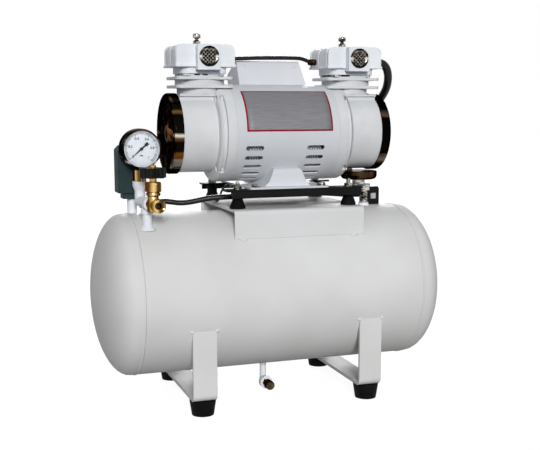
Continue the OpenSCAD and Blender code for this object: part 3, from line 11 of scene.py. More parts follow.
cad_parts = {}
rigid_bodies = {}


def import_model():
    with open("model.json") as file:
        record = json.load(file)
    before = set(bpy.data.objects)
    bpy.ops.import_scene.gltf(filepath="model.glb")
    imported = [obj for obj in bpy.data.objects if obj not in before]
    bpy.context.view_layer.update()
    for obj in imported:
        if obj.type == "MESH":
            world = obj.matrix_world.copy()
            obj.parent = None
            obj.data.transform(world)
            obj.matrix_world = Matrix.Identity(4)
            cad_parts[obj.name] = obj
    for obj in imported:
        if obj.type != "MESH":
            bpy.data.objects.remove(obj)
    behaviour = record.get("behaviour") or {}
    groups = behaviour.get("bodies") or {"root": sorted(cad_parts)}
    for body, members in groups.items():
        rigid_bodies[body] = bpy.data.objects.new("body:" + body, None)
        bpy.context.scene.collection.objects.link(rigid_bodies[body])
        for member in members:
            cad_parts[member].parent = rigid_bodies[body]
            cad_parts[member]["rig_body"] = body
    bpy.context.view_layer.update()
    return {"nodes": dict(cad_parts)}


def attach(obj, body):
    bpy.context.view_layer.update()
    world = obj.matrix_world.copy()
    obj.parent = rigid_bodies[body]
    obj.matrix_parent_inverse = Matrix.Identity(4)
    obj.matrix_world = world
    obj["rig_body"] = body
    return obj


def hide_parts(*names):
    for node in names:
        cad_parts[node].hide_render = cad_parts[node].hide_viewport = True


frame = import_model()
cadNodes = frame["nodes"]
mm = 0.001
shaftMiddle = (17.2, 12, 360.65)
print("frame loaded with", len(cadNodes), "nodes")


def shift(*spot):
    return Matrix.Translation(Vector(spot) * mm)


def turn(angle, axis):
    return Matrix.Rotation(radians(angle), 4, axis)


def alongAxis(axis, origin=(0, 0, 0)):
    # places what was built along Z so that it runs along a direction from a point
    return shift(*origin) @ Vector(axis).to_track_quat("Z", "Y").to_matrix().to_4x4()


def placed(name, data):
    made = bpy.data.objects.new(name, data)
    bpy.context.scene.collection.objects.link(made)
    return made


# camera, fitted to the receiver's end, the feet and the two heads; its position is in metres
cameraFit = {"position": (-0.4300, -1.2744, 0.4034), "pitch": -8.53, "yaw": -19.24,
             "lens": 64.80, "shift": (-0.0098, 0.0413), "clip": (0.05, 50)}


def placeCamera(fit):
    data = bpy.data.cameras.new("photoCamera")
    data.lens = fit["lens"]
    data.shift_x, data.shift_y = fit["shift"]
    data.clip_start, data.clip_end = fit["clip"]
    camera = placed("photoCamera", data)
    camera.location = fit["position"]
    camera.rotation_euler = (radians(90 + fit["pitch"]), 0, radians(fit["yaw"]))
    bpy.context.scene.camera = camera


placeCamera(cameraFit)


def screenColour(colour):
    # a colour as read on screen, turned into the light values that sockets take
    steps = [value / 255 for value in colour]
    light = [v / 12.92 if v <= 0.04045 else ((v + 0.055) / 1.055) ** 2.4 for v in steps]
    return (*light, 1.0)


def setAll(thing, **settings):
    for key, value in settings.items():
        setattr(thing, key, value)
    return thing


# node helpers
def put(tree, node, values):
    # a socket is linked, any other value is set on the input itself
    for key, value in values.items():
        if isinstance(value, bpy.types.NodeSocket):
            tree.links.new(value, node.inputs[key])
        else:
            node.inputs[key].default_value = value


def addNode(tree, kind, values=None, **settings):
    made = setAll(tree.nodes.new(kind), **settings)
    put(tree, made, values or {})
    return made


def output(tree, kind, values=None, **settings):
    return addNode(tree, kind, values, **settings).outputs[0]


def maths(tree, operation, a, b=0.0, c=0.0):
    return output(tree, "ShaderNodeMath", {0: a, 1: b, 2: c}, operation=operation)


def emptyTree(owner):
    owner.use_nodes = True
    owner.node_tree.nodes.clear()
    return owner.node_tree


finishes = {}


def newFinish(name):
    finishes[name] = bpy.data.materials.new(name)
    tree = emptyTree(finishes[name])
    shader = addNode(tree, "ShaderNodeBsdfPrincipled")
    addNode(tree, "ShaderNodeOutputMaterial", {"Surface": shader.outputs[0]})
    return tree, shader


def objectPlace(tree, stretch=(1, 1, 1)):
    place = addNode(tree, "ShaderNodeTexCoord").outputs["Object"]
    return output(tree, "ShaderNodeMapping", {"Vector": place, "Scale": stretch})


def softNoise(tree, place, scale, detail=3.0):
    return output(tree, "ShaderNodeTexNoise", {"Vector": place, "Scale": scale, "Detail": detail})


def bands(tree, share, stops):
    # a ramp with a stop for each place and colour
    ramp = addNode(tree, "ShaderNodeValToRGB", {"Fac": share})
    marks = ramp.color_ramp.elements
    while len(marks) < len(stops):
        marks.new(0.5)
    for mark, (spot, *colour) in zip(marks, stops):
        mark.position, mark.color = spot, screenColour(colour)
    return ramp.outputs[0]


def between(tree, factor, low, high, start=0.35, end=0.65):
    return bands(tree, factor, [(start, *low), (end, *high)])


def mixColour(tree, share, first, second):
    values = {0: share, 6: first, 7: second}
    return addNode(tree, "ShaderNodeMix", values, data_type="RGBA").outputs[2]


def spread(tree, factor, low, high):
    # a noise's middle range, turned into a range of roughness
    values = {"Value": factor, "From Min": 0.3, "From Max": 0.7, "To Min": low, "To Max": high}
    return output(tree, "ShaderNodeMapRange", values)


def stripes(tree, place, scale, waver, run="DIAGONAL"):
    values = {"Vector": place, "Scale": scale, "Distortion": waver, "Detail": 2.0}
    return addNode(tree, "ShaderNodeTexWave", values, bands_direction=run).outputs["Fac"]


def raised(tree, height, strength, depth=0.1, **more):
    values = {"Height": height, "Strength": strength, "Distance": depth * mm, **more}
    return output(tree, "ShaderNodeBump", values)


def easedEdge(tree, radius=0.4):
    return output(tree, "ShaderNodeBevel", {"Radius": radius * mm}, samples=4)


# paints, metals and plastics: two tones, the sizes of their drift and of the grain, a range
# of roughness, the relief, and what else differs from the values in driftAndReflectionFinish;
# on the polished metals the two tones lie far apart and their patches are painted reflections
finishLooks = {
    "receiverEnamel": ((222, 222, 222), (214, 214, 213), 9, 700, (0.5, 0.58), 0.12,
        dict(edge=0.8, specular=0.06)),
    "saddleEnamel": ((220, 221, 222), (213, 213, 213), 9, 700, (0.5, 0.6), 0.12,
        dict(edge=0.8, specular=0.03)),
    "pumpEnamel": ((212, 214, 219), (205, 208, 213), 14, 900, (0.48, 0.56), 0.12,
        dict(edge=0.8, specular=0.25)),
    "castEnamel": ((217, 218, 220), (208, 210, 213), 30, 650, (0.5, 0.58), 0.3,
        dict(edge=1.0, specular=0.22)),
    # a lighter copy of castEnamel, as painted light on the heads, valve plates, sockets and tee
    "headEnamel": ((236, 239, 243), (225, 229, 235), 30, 650, (0.5, 0.58), 0.3,
        dict(edge=1.0, specular=0.22)),
    "railEnamel": ((9, 10, 11), (17, 17, 18), 25, 800, (0.45, 0.6), 0.25, dict(specular=0.08)),
    "footRubber": ((9, 9, 10), (17, 17, 17), 40, 1500, (0.55, 0.75), 0.4,
        dict(edge=0.8, specular=0.06)),
    # pale and near black patches: painted highlights and reflections on the zinc plate
    "zincPlate": ((206, 204, 196), (56, 54, 50), 170, 2500, (0.22, 0.4), 0.25,
        dict(metal=1.0, slant=(110, 106, 100))),
    # pale and near black patches: painted reflections and highlights on the chrome
    "brightChrome": ((206, 202, 196), (52, 46, 40), 110, 1200, (0.06, 0.14), 0.05,
        dict(metal=1.0, edge=0.5, stretch=(1, 1, 1.6), slant=(120, 116, 110))),
    # dark brown all over, with darker patches: a painted reflection of a dark room in the chrome
    "smokedChrome": ((84, 62, 42), (16, 13, 11), 40, 900, (0.07, 0.16), 0.05,
        dict(metal=1.0, edge=0.6, stretch=(1, 1, 0.5), slant=(60, 44, 30))),
    "groundSteel": ((118, 114, 108), (84, 80, 74), 60, 900, (0.2, 0.34), 0.2,
        dict(metal=1.0, stretch=(1, 12, 12), slant=(60, 56, 52))),
    "reedSteel": ((158, 168, 182), (140, 148, 160), 80, 1800, (0.15, 0.28), 0.1,
        dict(metal=1.0, edge=0.1)),
    "bareAlloy": ((188, 190, 193), (168, 170, 174), 50, 1100, (0.35, 0.55), 0.3, dict(metal=1.0)),
    # bright and dark brown patches: painted reflections on the brass
    "yellowBrass": ((206, 164, 88), (96, 66, 26), 85, 1600, (0.14, 0.28), 0.15,
        dict(metal=1.0, stretch=(1, 1, 0.6), slant=(140, 96, 40))),
    "darkBronze": ((92, 78, 60), (58, 47, 36), 120, 1800, (0.25, 0.42), 0.3,
        dict(metal=1.0, slant=(90, 76, 58))),
    # bright and dark patches: painted glints and reflections on the wire
    "screenWire": ((206, 202, 192), (84, 78, 68), 260, 3000, (0.15, 0.3), 0.05,
        dict(metal=1.0, edge=0.1)),
    "cupResin": ((214, 206, 186), (198, 190, 168), 60, 1500, (0.4, 0.55), 0.15, {}),
    "gasketSheet": ((208, 212, 218), (14, 14, 15), 75, 1800, (0.7, 0.85), 0.4,
        dict(edge=0.2, tight=0.02)),
    "blackResin": ((11, 12, 13), (19, 20, 22), 50, 2200, (0.35, 0.5), 0.35,
        dict(edge=0.6, specular=0.1)),
    "fanResin": ((50, 33, 22), (138, 92, 56), 55, 1200, (0.6, 0.75), 0.2, dict(specular=0.04)),
    "wheelResin": ((7, 7, 9), (14, 14, 16), 60, 1600, (0.3, 0.42), 0.12,
        dict(edge=1.0, specular=0.1)),
    "slateCover": ((50, 65, 67), (41, 55, 57), 30, 1500, (0.55, 0.68), 0.3,
        dict(edge=1.2, specular=0.05)),
    "wireSleeve": ((14, 58, 44), (10, 44, 34), 200, 2500, (0.35, 0.5), 0.1, dict(specular=0.2)),
    "hoseEndBlack": ((20, 19, 18), (36, 34, 32), 90, 1800, (0.5, 0.65), 0.3,
        dict(edge=0.2, specular=0.1)),
    "filterFelt": ((12, 11, 10), (22, 20, 18), 500, 4000, (0.85, 0.95), 0.8, dict(specular=0.1)),
    "needleBlack": ((18, 18, 19), (26, 26, 28), 200, 3000, (0.4, 0.5), 0.1, dict(edge=0.1)),
    "paleMark": ((176, 178, 180), (150, 152, 156), 300, 2500, (0.4, 0.5), 0.1, dict(edge=0.1)),
}


def driftAndReflectionFinish(name, tone, otherTone, drift, grain, rough, relief, metal=0.0, specular=0.5,
               slant=(255, 255, 255), edge=0.4, stretch=(1, 1, 1), tight=0.15):
    # slant tints light at a low angle, edge is the width of an eased edge, and a small value of
    # tight makes the change of tone sharp
    tree, shader = newFinish(name)
    place = objectPlace(tree, stretch)
    broad = softNoise(tree, place, drift)
    fine = softNoise(tree, place, grain, 4.0)
    put(tree, shader, {
        "Base Color": between(tree, broad, tone, otherTone, 0.5 - tight, 0.5 + tight),
        "Roughness": spread(tree, softNoise(tree, place, drift * 2.3), *rough),
        "Metallic": metal, "Specular IOR Level": specular, "Specular Tint": screenColour(slant),
        "Normal": raised(tree, fine, relief, Normal=easedEdge(tree, edge))})


for name, (*row, more) in finishLooks.items():
    driftAndReflectionFinish(name, *row, **more)

# sheets of the core and the rotor, and the varnished wire of the windings
stripeLooks = {
    "coreSheets": dict(tones=((50, 50, 52), (128, 132, 138)), lines=1600, waver=0.4, run="X",
                       ends=(0.1, 0.5), rough=(0.6, 0.35), metal=0.9, relief=0.5),
    "woundCopper": dict(tones=((150, 158, 166), (246, 249, 252)), lines=1100, waver=3.0,
                        ends=(0.15, 0.6), rough=(0.5, 0.3), coat=0.3, relief=0.8, depth=0.3),
}


def stripedFinish(name, tones, lines, waver, ends, rough, relief, run="DIAGONAL", metal=0.0,
                  coat=0.0, depth=0.1):
    tree, shader = newFinish(name)
    wave = stripes(tree, objectPlace(tree), lines / 6.283, waver, run)
    put(tree, shader, {
        "Base Color": between(tree, wave, *tones, *ends), "Roughness": spread(tree, wave, *rough),
        "Metallic": metal, "Coat Weight": coat, "Normal": raised(tree, wave, relief, depth)})


for name, look in stripeLooks.items():
    stripedFinish(name, **look)

# polished metals with painted reflections: bands of colour along one axis stand for the room
# they would mirror; places are shares of the length from the low end
paintedReflectionLooks = {
    "cowlChrome": dict(slant=(60, 44, 30), axis="Z", low=306.65, length=108.0, drift=7.0, stops=[
        (0.0, 12, 10, 8), (0.07, 40, 26, 12), (0.1, 146, 136, 122), (0.19, 150, 138, 124),
        (0.21, 104, 62, 22), (0.28, 96, 54, 18), (0.3, 14, 10, 7), (0.42, 12, 9, 7),
        (0.47, 96, 66, 44), (0.5, 222, 214, 200), (0.53, 18, 14, 11), (0.73, 12, 10, 9),
        (0.76, 110, 82, 46), (0.79, 18, 14, 11), (0.88, 20, 18, 15), (0.93, 92, 86, 74),
        (1.0, 60, 52, 40)],
        # the right ring, past farFrom along X, has painted reflection bands of its own
        farFrom=0.0, farStops=[
        (0.0, 30, 22, 14), (0.1, 64, 52, 38), (0.14, 140, 130, 112), (0.19, 92, 80, 70),
        (0.23, 8, 6, 5), (0.69, 6, 5, 4), (0.72, 84, 72, 62), (0.76, 64, 46, 30), (0.79, 8, 6, 5),
        (0.9, 10, 8, 6), (0.95, 56, 36, 20), (1.0, 40, 26, 14)]),
    "gaugeChrome": dict(slant=(40, 34, 30), axis="Z", low=317.0, length=52.4, drift=4.0, stops=[
        (0.0, 14, 12, 10), (0.14, 20, 17, 14), (0.2, 196, 190, 182), (0.25, 26, 22, 18),
        (0.48, 16, 14, 12), (0.6, 48, 44, 40), (0.7, 96, 92, 86), (0.77, 26, 22, 18),
        (0.9, 20, 16, 12), (0.95, 92, 70, 48), (1.0, 26, 20, 14)]),
    "filterChrome": dict(slant=(60, 56, 52), axis="Z", low=448.8, length=26.0, drift=3.0, stops=[
        (0.0, 16, 15, 14), (0.3, 40, 38, 36), (0.4, 176, 172, 166), (0.5, 238, 236, 230),
        (0.58, 70, 66, 62), (0.7, 20, 19, 18), (0.85, 110, 104, 96), (0.92, 18, 17, 16),
        (1.0, 14, 13, 12)]),
    "stopcockBrass": dict(slant=(190, 160, 104), axis="X", low=-189.5, length=28, drift=3, stops=[
        (0.0, 62, 48, 24), (0.1, 206, 170, 108), (0.2, 112, 84, 42), (0.32, 74, 56, 28),
        (0.42, 198, 160, 96), (0.52, 236, 204, 144), (0.6, 208, 170, 106), (0.68, 96, 72, 36),
        (0.8, 68, 52, 26), (0.9, 150, 116, 66), (1.0, 62, 48, 24)]),
}


def paintedReflectionFinish(name, slant, axis, low, length, drift, stops, farFrom=0.0, farStops=None):
    # a piece past farFrom along X may have painted reflection bands of its own
    tree, shader = newFinish(name)
    place = objectPlace(tree)
    parts = addNode(tree, "ShaderNodeSeparateXYZ", {"Vector": place}).outputs
    noise = softNoise(tree, place, 24, 1.5)
    moved = maths(tree, "MULTIPLY_ADD", noise, drift * mm, parts[axis])
    start = (low + drift / 2) * mm
    share = output(tree, "ShaderNodeMapRange",
                   {"Value": moved, "From Min": start, "From Max": start + length * mm})
    tone = bands(tree, share, stops)
    if farStops:
        far = maths(tree, "GREATER_THAN", parts["X"], farFrom * mm)
        tone = mixColour(tree, far, tone, bands(tree, share, farStops))
    put(tree, shader, {
        "Base Color": tone, "Roughness": spread(tree, noise, 0.08, 0.18), "Metallic": 1.0,
        "Specular Tint": screenColour(slant), "Normal": easedEdge(tree)})


for name, look in paintedReflectionLooks.items():
    paintedReflectionFinish(name, **look)

# hose and cable sleeves, patterned along and round the piece by its own map
sleeveLook = {"tones": ((13, 13, 15), (22, 22, 24)), "rough": (0.16, 0.3), "weave": 46,
              "specular": 0.22}


def sleeveFinish(name, look):
    tree, shader = newFinish(name)
    wave = stripes(tree, output(tree, "ShaderNodeUVMap", uv_map="sleeve"), look["weave"], 0.6)
    broad = softNoise(tree, objectPlace(tree), 60)
    put(tree, shader, {
        "Base Color": between(tree, broad, *look["tones"]),
        "Roughness": spread(tree, broad, *look["rough"]),
        "Specular IOR Level": look["specular"], "Normal": raised(tree, wave, 0.18)})


# silver rating plate with a red border that follows its edges
plateLook = {"tones": ((134, 133, 137), (120, 119, 123)), "border": (150, 16, 28),
             "borderWidth": 2.1, "rough": (0.52, 0.62), "specular": 0.2, "metal": 0.25}


def plateFinish(name, look, width, height):
    tree, shader = newFinish(name)
    uv = output(tree, "ShaderNodeUVMap", uv_map="plate")
    parts = addNode(tree, "ShaderNodeSeparateXYZ", {"Vector": uv}).outputs
    edges = []
    for axis, length in (("X", width), ("Y", height)):
        far = maths(tree, "ABSOLUTE", maths(tree, "SUBTRACT", parts[axis], 0.5))
        edges.append(maths(tree, "GREATER_THAN", far, 0.5 - look["borderWidth"] / length))
    edge = maths(tree, "MAXIMUM", *edges)
    brushed = softNoise(tree, objectPlace(tree, (1, 30, 30)), 60)
    face = between(tree, brushed, *look["tones"])
    put(tree, shader, {
        "Base Color": mixColour(tree, edge, face, screenColour(look["border"])),
        "Roughness": spread(tree, brushed, *look["rough"]), "Specular IOR Level": look["specular"],
        "Metallic": maths(tree, "MULTIPLY_ADD", edge, -look["metal"], look["metal"])})


# dial and glass of the gauge
dialLook = {"tones": ((238, 243, 250), (230, 236, 246)), "rough": (0.45, 0.55)}
glassLook = {"tint": (255, 255, 255), "rough": (0.0, 0.02), "bend": 1.12}


def dialFinish(name, look):
    tree, shader = newFinish(name)
    broad = softNoise(tree, objectPlace(tree), 120)
    put(tree, shader, {
        "Base Color": between(tree, broad, *look["tones"]),
        "Roughness": spread(tree, broad, *look["rough"])})


def glassFinish(name, look):
    tree, shader = newFinish(name)
    smear = softNoise(tree, objectPlace(tree), 90)
    put(tree, shader, {
        "Base Color": screenColour(look["tint"]), "Transmission Weight": 1.0,
        "IOR": look["bend"], "Roughness": spread(tree, smear, *look["rough"])})


sleeveFinish("sleeve", sleeveLook)
dialFinish("dialFace", dialLook)
glassFinish("clearGlass", glassLook)
print("finishes made:", len(finishes))


# mesh helpers
def newPiece(name, mesh, finish, place=None, stands=None, body="frame"):
    # a finished piece on its body, which may stand for a CAD node
    if place is not None:
        mesh.transform(place)
    piece = placed(name, mesh)
    mesh.materials.clear()
    mesh.materials.append(finishes[finish])
    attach(piece, body)
    if stands:
        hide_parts(stands)
    return piece


def meshFrom(bm, name, angle=35):
    mesh = bpy.data.meshes.new(name)
    bmesh.ops.recalc_face_normals(bm, faces=bm.faces)
    bm.to_mesh(mesh)
    bm.free()
    mesh.shade_smooth()
    mesh.set_sharp_from_angle(angle=radians(angle))
    return mesh


def shapedPiece(name, bm, finish, place=None, stands=None, body="frame", angle=35):
    return newPiece(name, meshFrom(bm, name, angle), finish, place, stands, body)


def around(sides):
    turns = [2 * pi * k / sides for k in range(sides)]
    return [(cos(t), sin(t)) for t in turns]


def lathe(profile, sides=48, closed=False):
    # profile as (radius, height) from bottom to top, turned about Z
    bm = bmesh.new()
    rings = []
    for radius, height in profile:
        spots = [Vector((radius * x, radius * y, height)) * mm for x, y in around(sides)]
        rings.append([bm.verts.new(spot) for spot in (spots if radius > 1e-6 else spots[:1])])
    for low, high in zip(rings, rings[1:] + rings[:1] if closed else rings[1:]):
        for k in range(sides):
            corners = [low[k % len(low)], low[(k + 1) % len(low)],
                       high[(k + 1) % len(high)], high[k % len(high)]]
            corners = list(dict.fromkeys(corners))
            if len(corners) > 2:
                bm.faces.new(corners)
    return bm


def prism(radius, low, high):
    bm = bmesh.new()
    bmesh.ops.create_cone(bm, cap_ends=True, segments=6, radius1=radius * mm,
                          radius2=radius * mm, depth=(high - low) * mm)
    bm.transform(shift(0, 0, (low + high) / 2))
    return bm


def hexBlock(flats, low, high, chamfer=0.5):
    bm = prism(flats / sqrt(3), low, high)
    rims = [e for e in bm.edges if abs(e.verts[0].co.z - e.verts[1].co.z) < 1e-7]
    bmesh.ops.bevel(bm, geom=rims, offset=chamfer * mm, segments=2, affect="EDGES", profile=0.6)
    return bm


def block(*sides):
    bm = bmesh.new()
    bmesh.ops.create_cube(bm, size=1.0)
    bmesh.ops.scale(bm, verts=bm.verts, vec=[side * mm for side in sides])
    return bm


def joined(parts):
    whole = bmesh.new()
    for part in parts:
        held = bpy.data.meshes.new("held")
        part.to_mesh(held)
        part.free()
        whole.from_mesh(held)
        bpy.data.meshes.remove(held)
    return whole


def softened(node, name, finish, width, moved=None):
    # a merged copy of a CAD solid with its sharp edges eased, which stands for the node
    mesh = cadNodes[node].data.copy()
    extra = mesh.attributes.get("custom_normal")
    if extra:
        mesh.attributes.remove(extra)
    bm = bmesh.new()
    bm.from_mesh(mesh)
    bmesh.ops.remove_doubles(bm, verts=bm.verts, dist=0.004 * mm)
    bmesh.ops.dissolve_limit(bm, angle_limit=radians(0.6), verts=bm.verts, edges=bm.edges)
    if moved:
        for vert in bm.verts:
            vert.co.x += moved(*(vert.co / mm)) * mm
    bm.to_mesh(mesh)
    bm.free()
    mesh.name = name
    mesh.shade_smooth()
    piece = newPiece(name, mesh, finish, body=cadNodes[node]["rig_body"])
    setAll(piece.modifiers.new("easedEdges", "BEVEL"), width=width * mm, segments=2,
           limit_method="ANGLE", angle_limit=radians(32), use_clamp_overlap=True,
           harden_normals=True)
    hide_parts(node)


# growing trees: each one repeats a part, with its sizes as named inputs
def newTree(name, inputs):
    tree = bpy.data.node_groups.new(name, "GeometryNodeTree")
    tree.interface.new_socket("Geometry", in_out="OUTPUT", socket_type="NodeSocketGeometry")
    inputs = [("Geometry", "Geometry", None), *inputs, ("Finish", "Material", None)]
    for label, kind, value in inputs:
        socket = tree.interface.new_socket(label, in_out="INPUT", socket_type="NodeSocket" + kind)
        if value is not None:
            socket.default_value = value
    return tree, addNode(tree, "NodeGroupInput").outputs


def endTree(tree, given, geometry):
    real = output(tree, "GeometryNodeRealizeInstances", {"Geometry": geometry})
    done = output(tree, "GeometryNodeSetMaterial", {"Geometry": real, "Material": given["Finish"]})
    addNode(tree, "NodeGroupOutput", {0: done})
    return tree


def triple(tree, **parts):
    return output(tree, "ShaderNodeCombineXYZ", parts)


def pointLine(tree, count, **more):
    return output(tree, "GeometryNodeMeshLine", {"Count": count, **more})


def movedTo(tree, points, spot):
    return output(tree, "GeometryNodeSetPosition", {"Geometry": points, "Position": spot})


def copies(tree, part, points, **more):
    values = {"Points": points, "Instance": part, **more}
    return output(tree, "GeometryNodeInstanceOnPoints", values)


def givenPart(tree, given):
    return addNode(tree, "GeometryNodeObjectInfo", {"Object": given["Part"]}).outputs["Geometry"]


def circle(tree, sides, radius):
    values = {"Resolution": sides, "Radius": radius}
    return output(tree, "GeometryNodeCurvePrimitiveCircle", values)


def ringTree():
    tree, given = newTree("ringOfParts", [
        ("Part", "Object", None), ("Count", "Int", 8), ("Radius", "Float", 0.01),
        ("Start angle", "Float", 0.0), ("Step angle", "Float", 0.5)])
    index = output(tree, "GeometryNodeInputIndex")
    angle = maths(tree, "MULTIPLY_ADD", index, given["Step angle"], given["Start angle"])
    x, y = [maths(tree, "MULTIPLY", given["Radius"], maths(tree, share, angle))
            for share in ("COSINE", "SINE")]
    points = movedTo(tree, pointLine(tree, given["Count"]), triple(tree, X=x, Y=y))
    ring = copies(tree, givenPart(tree, given), points, Rotation=triple(tree, Z=angle))
    return endTree(tree, given, ring)


def pointTree():
    tree, given = newTree("partOnEachPoint", [
        ("Part", "Object", None), ("Part scale", "Float", 1.0)])
    part = givenPart(tree, given)
    return endTree(tree, given, copies(tree, part, given["Geometry"], Scale=given["Part scale"]))


def screenTree():
    tree, given = newTree("wireScreen", [
        ("Disc radius", "Float", 0.0117), ("Wire pitch", "Float", 0.0026),
        ("Wire radius", "Float", 0.0004)])
    reach, pitch = given["Disc radius"], given["Wire pitch"]
    wide = maths(tree, "MULTIPLY", reach, 2.0)
    count = maths(tree, "FLOOR", maths(tree, "DIVIDE", wide, pitch))
    half = maths(tree, "MULTIPLY", maths(tree, "SUBTRACT", count, 1.0), 0.5)
    index = output(tree, "GeometryNodeInputIndex")
    x = maths(tree, "MULTIPLY", maths(tree, "SUBTRACT", index, half), pitch)
    points = movedTo(tree, pointLine(tree, count), triple(tree, X=x))
    squares = [maths(tree, "MULTIPLY", side, side) for side in (reach, x)]
    square = maths(tree, "SUBTRACT", *squares)
    chord = maths(tree, "MULTIPLY", maths(tree, "SQRT", square), 2.0)
    wire = output(tree, "GeometryNodeMeshCylinder",
                  {"Vertices": 6, "Radius": given["Wire radius"], "Depth": 1.0})
    wires = copies(tree, wire, points, Rotation=(radians(90), 0, 0),
                   Scale=triple(tree, X=1.0, Y=1.0, Z=chord))
    both = addNode(tree, "GeometryNodeJoinGeometry")
    for lean, lift in ((45, -0.5), (-45, 0.5)):
        rise = triple(tree, Z=maths(tree, "MULTIPLY", given["Wire radius"], lift))
        layer = output(tree, "GeometryNodeTransform", {
            "Geometry": wires, "Translation": rise, "Rotation": (0, 0, radians(lean))})
        tree.links.new(layer, both.inputs[0])
    return endTree(tree, given, both.outputs[0])


def ribTree():
    tree, given = newTree("stackOfRibs", [
        ("Count", "Int", 5), ("Rib pitch", "Float", 0.002), ("Ring radius", "Float", 0.006),
        ("Rib thickness", "Float", 0.0005)])
    line = pointLine(tree, given["Count"], Offset=triple(tree, Z=given["Rib pitch"]))
    rib = output(tree, "GeometryNodeCurveToMesh", {
        "Curve": circle(tree, 32, given["Ring radius"]),
        "Profile Curve": circle(tree, 8, given["Rib thickness"])})
    return endTree(tree, given, copies(tree, rib, line))


trees = {"ring": ringTree(), "points": pointTree(), "screen": screenTree(), "ribs": ribTree()}
print("growing trees made:", len(trees))


def plainMesh(holder):
    # what an object looks like with its modifiers run, after which the object goes
    depsgraph = bpy.context.evaluated_depsgraph_get()
    mesh = bpy.data.meshes.new_from_object(holder.evaluated_get(depsgraph))
    bpy.data.objects.remove(holder)
    return mesh


def grownPiece(name, tree, sizes, finish, place=None, stands=None, body="frame", base=None):
    holder = placed("growing", base or bpy.data.meshes.new("growing"))
    modifier = holder.modifiers.new("growth", "NODES")
    modifier.node_group = trees[tree]
    sizes = {**sizes, "Finish": finishes[finish]}
    for item in trees[tree].interface.items_tree:
        if item.item_type == "SOCKET" and item.in_out == "INPUT" and item.name in sizes:
            modifier[item.identifier] = sizes[item.name]
    holder.update_tag()
    newPiece(name, plainMesh(holder), finish, place, stands, body)


def partObject(bm, name, angle=35):
    return bpy.data.objects.new(name, meshFrom(bm, name, angle))


def repeatedPiece(name, shape, spots, finish, place=None, stands=None):
    base = bpy.data.meshes.new(name + "Spots")
    base.from_pydata([Vector(spot) * mm for spot in spots], [], [])
    part = partObject(shape, name + "Part")
    grownPiece(name, "points", {"Part": part}, finish, place, stands, base=base)


def turnedPiece(name, kind):
    # a turned part on each of its spots, given as its section
    repeatedPiece(name, lathe(kind["section"], kind["sides"], True), kind["spots"],
                  kind.get("finish", "zincPlate"), kind.get("place"), kind.get("stands"))


def ringPiece(name, part, ring, finish, place, stands=None, body="frame"):
    count, radius, start, step = ring
    sizes = {"Part": part, "Count": count, "Radius": radius * mm, "Start angle": start,
             "Step angle": step}
    grownPiece(name, "ring", sizes, finish, place, stands, body)


def ribPiece(name, count, pitch, radius, thickness, finish, place):
    sizes = {"Count": count, "Rib pitch": pitch * mm, "Ring radius": radius * mm,
             "Rib thickness": thickness * mm}
    grownPiece(name, "ribs", sizes, finish, place)


# CAD solids that stay as they are, by finish
plainNodes = {
    "headEnamel": "tank_sockets", "coreSheets": "stator_core rotor", "woundCopper": "windings",
    "groundSteel": "bearings shaft", "gasketSheet": "head_gaskets", "reedSteel": "reed_valves",
    "brightChrome": "head_knobs delivery_pipe", "filterChrome": "filter_rims",
    "cowlChrome": "cowl_rings", "blackResin": "capacitor", "smokedChrome": "damper_drum",
    "bareAlloy": "eccentrics rod_left rod_right", "cupResin": "cup_left cup_right",
    "gaugeChrome": "gauge_case", "dialFace": "gauge_dial", "clearGlass": "gauge_glass",
    "needleBlack": "gauge_needle", "yellowBrass": "spindle",
    "footRubber": "rubber_mounts rubber_feet", "darkBronze": "drain_cock",
}
for finish, nodes in plainNodes.items():
    for node in nodes.split():
        slots = cadNodes[node].data.materials
        slots.clear()
        slots.append(finishes[finish])

# castings, pressings and mouldings, with their piece's name and the width of their eased edges
easedNodes = [
    ("receiverEnamel", [
        ("tank_shell", "receiverShell", 0.3), ("tank_end_left", "receiverEndLeft", 0.3),
        ("tank_end_right", "receiverEndRight", 0.3), ("leg_left", "legLeft", 0.8),
        ("leg_right", "legRight", 0.8)]),
    ("saddleEnamel", [("saddle", "saddlePressing", 0.7)]),
    ("railEnamel", [("base_rails", "railPair", 0.4)]),
    ("pumpEnamel", [("motor_foot", "motorFoot", 2.2)]),
    ("castEnamel", [
        ("crankcase_left", "endCastingLeft", 0.6), ("crankcase_right", "endCastingRight", 0.6),
        ("cylinders", "cylinderPair", 1.3)]),
    ("headEnamel", [
        ("valve_plates", "valvePlatePair", 0.7), ("head_left", "headLeft", 0.8),
        ("head_right", "headRight", 0.8)]),
    ("blackResin", [("junction_box", "junctionBox", 0.5)]),
    ("headEnamel", [("pipe_tee", "whiteTee", 0.4)]),
    ("wheelResin", [("handwheel", "lobedWheel", 1.2)]),
    ("slateCover", [("pressure_switch", "switchCover", 0.8)]),
]
for finish, nodes in easedNodes:
    for node, name, width in nodes:
        softened(node, name, finish, width)

# motor shell with its slots where the photograph shows them, and the cover with its leaning end
shellSizes = {"from": -40, "to": 74, "top": 350, "slide": -5.0, "ease": 0.25}
coverSizes = {"from": 30, "pull": -3.5, "lean": -0.17, "foot": 418, "ease": 1.0}
s, c = shellSizes, coverSizes
softened("motor_shell", "motorShell", "pumpEnamel", s["ease"], lambda x, y, z:
         s["slide"] if s["from"] < x < s["to"] and z < s["top"] else 0)
softened("capacitor_box", "capacitorCover", "pumpEnamel", c["ease"], lambda x, y, z:
         c["pull"] + c["lean"] * max(0, z - c["foot"]) if x > c["from"] else 0)
print("CAD solids dressed")

# rating plate: a bare curved sheet on the front of the motor
plateSizes = {"x": (-42.6, 78.6), "angles": (3.3, 58.6), "radius": 66.25, "thickness": 0.6,
              "columns": 12, "rows": 24}


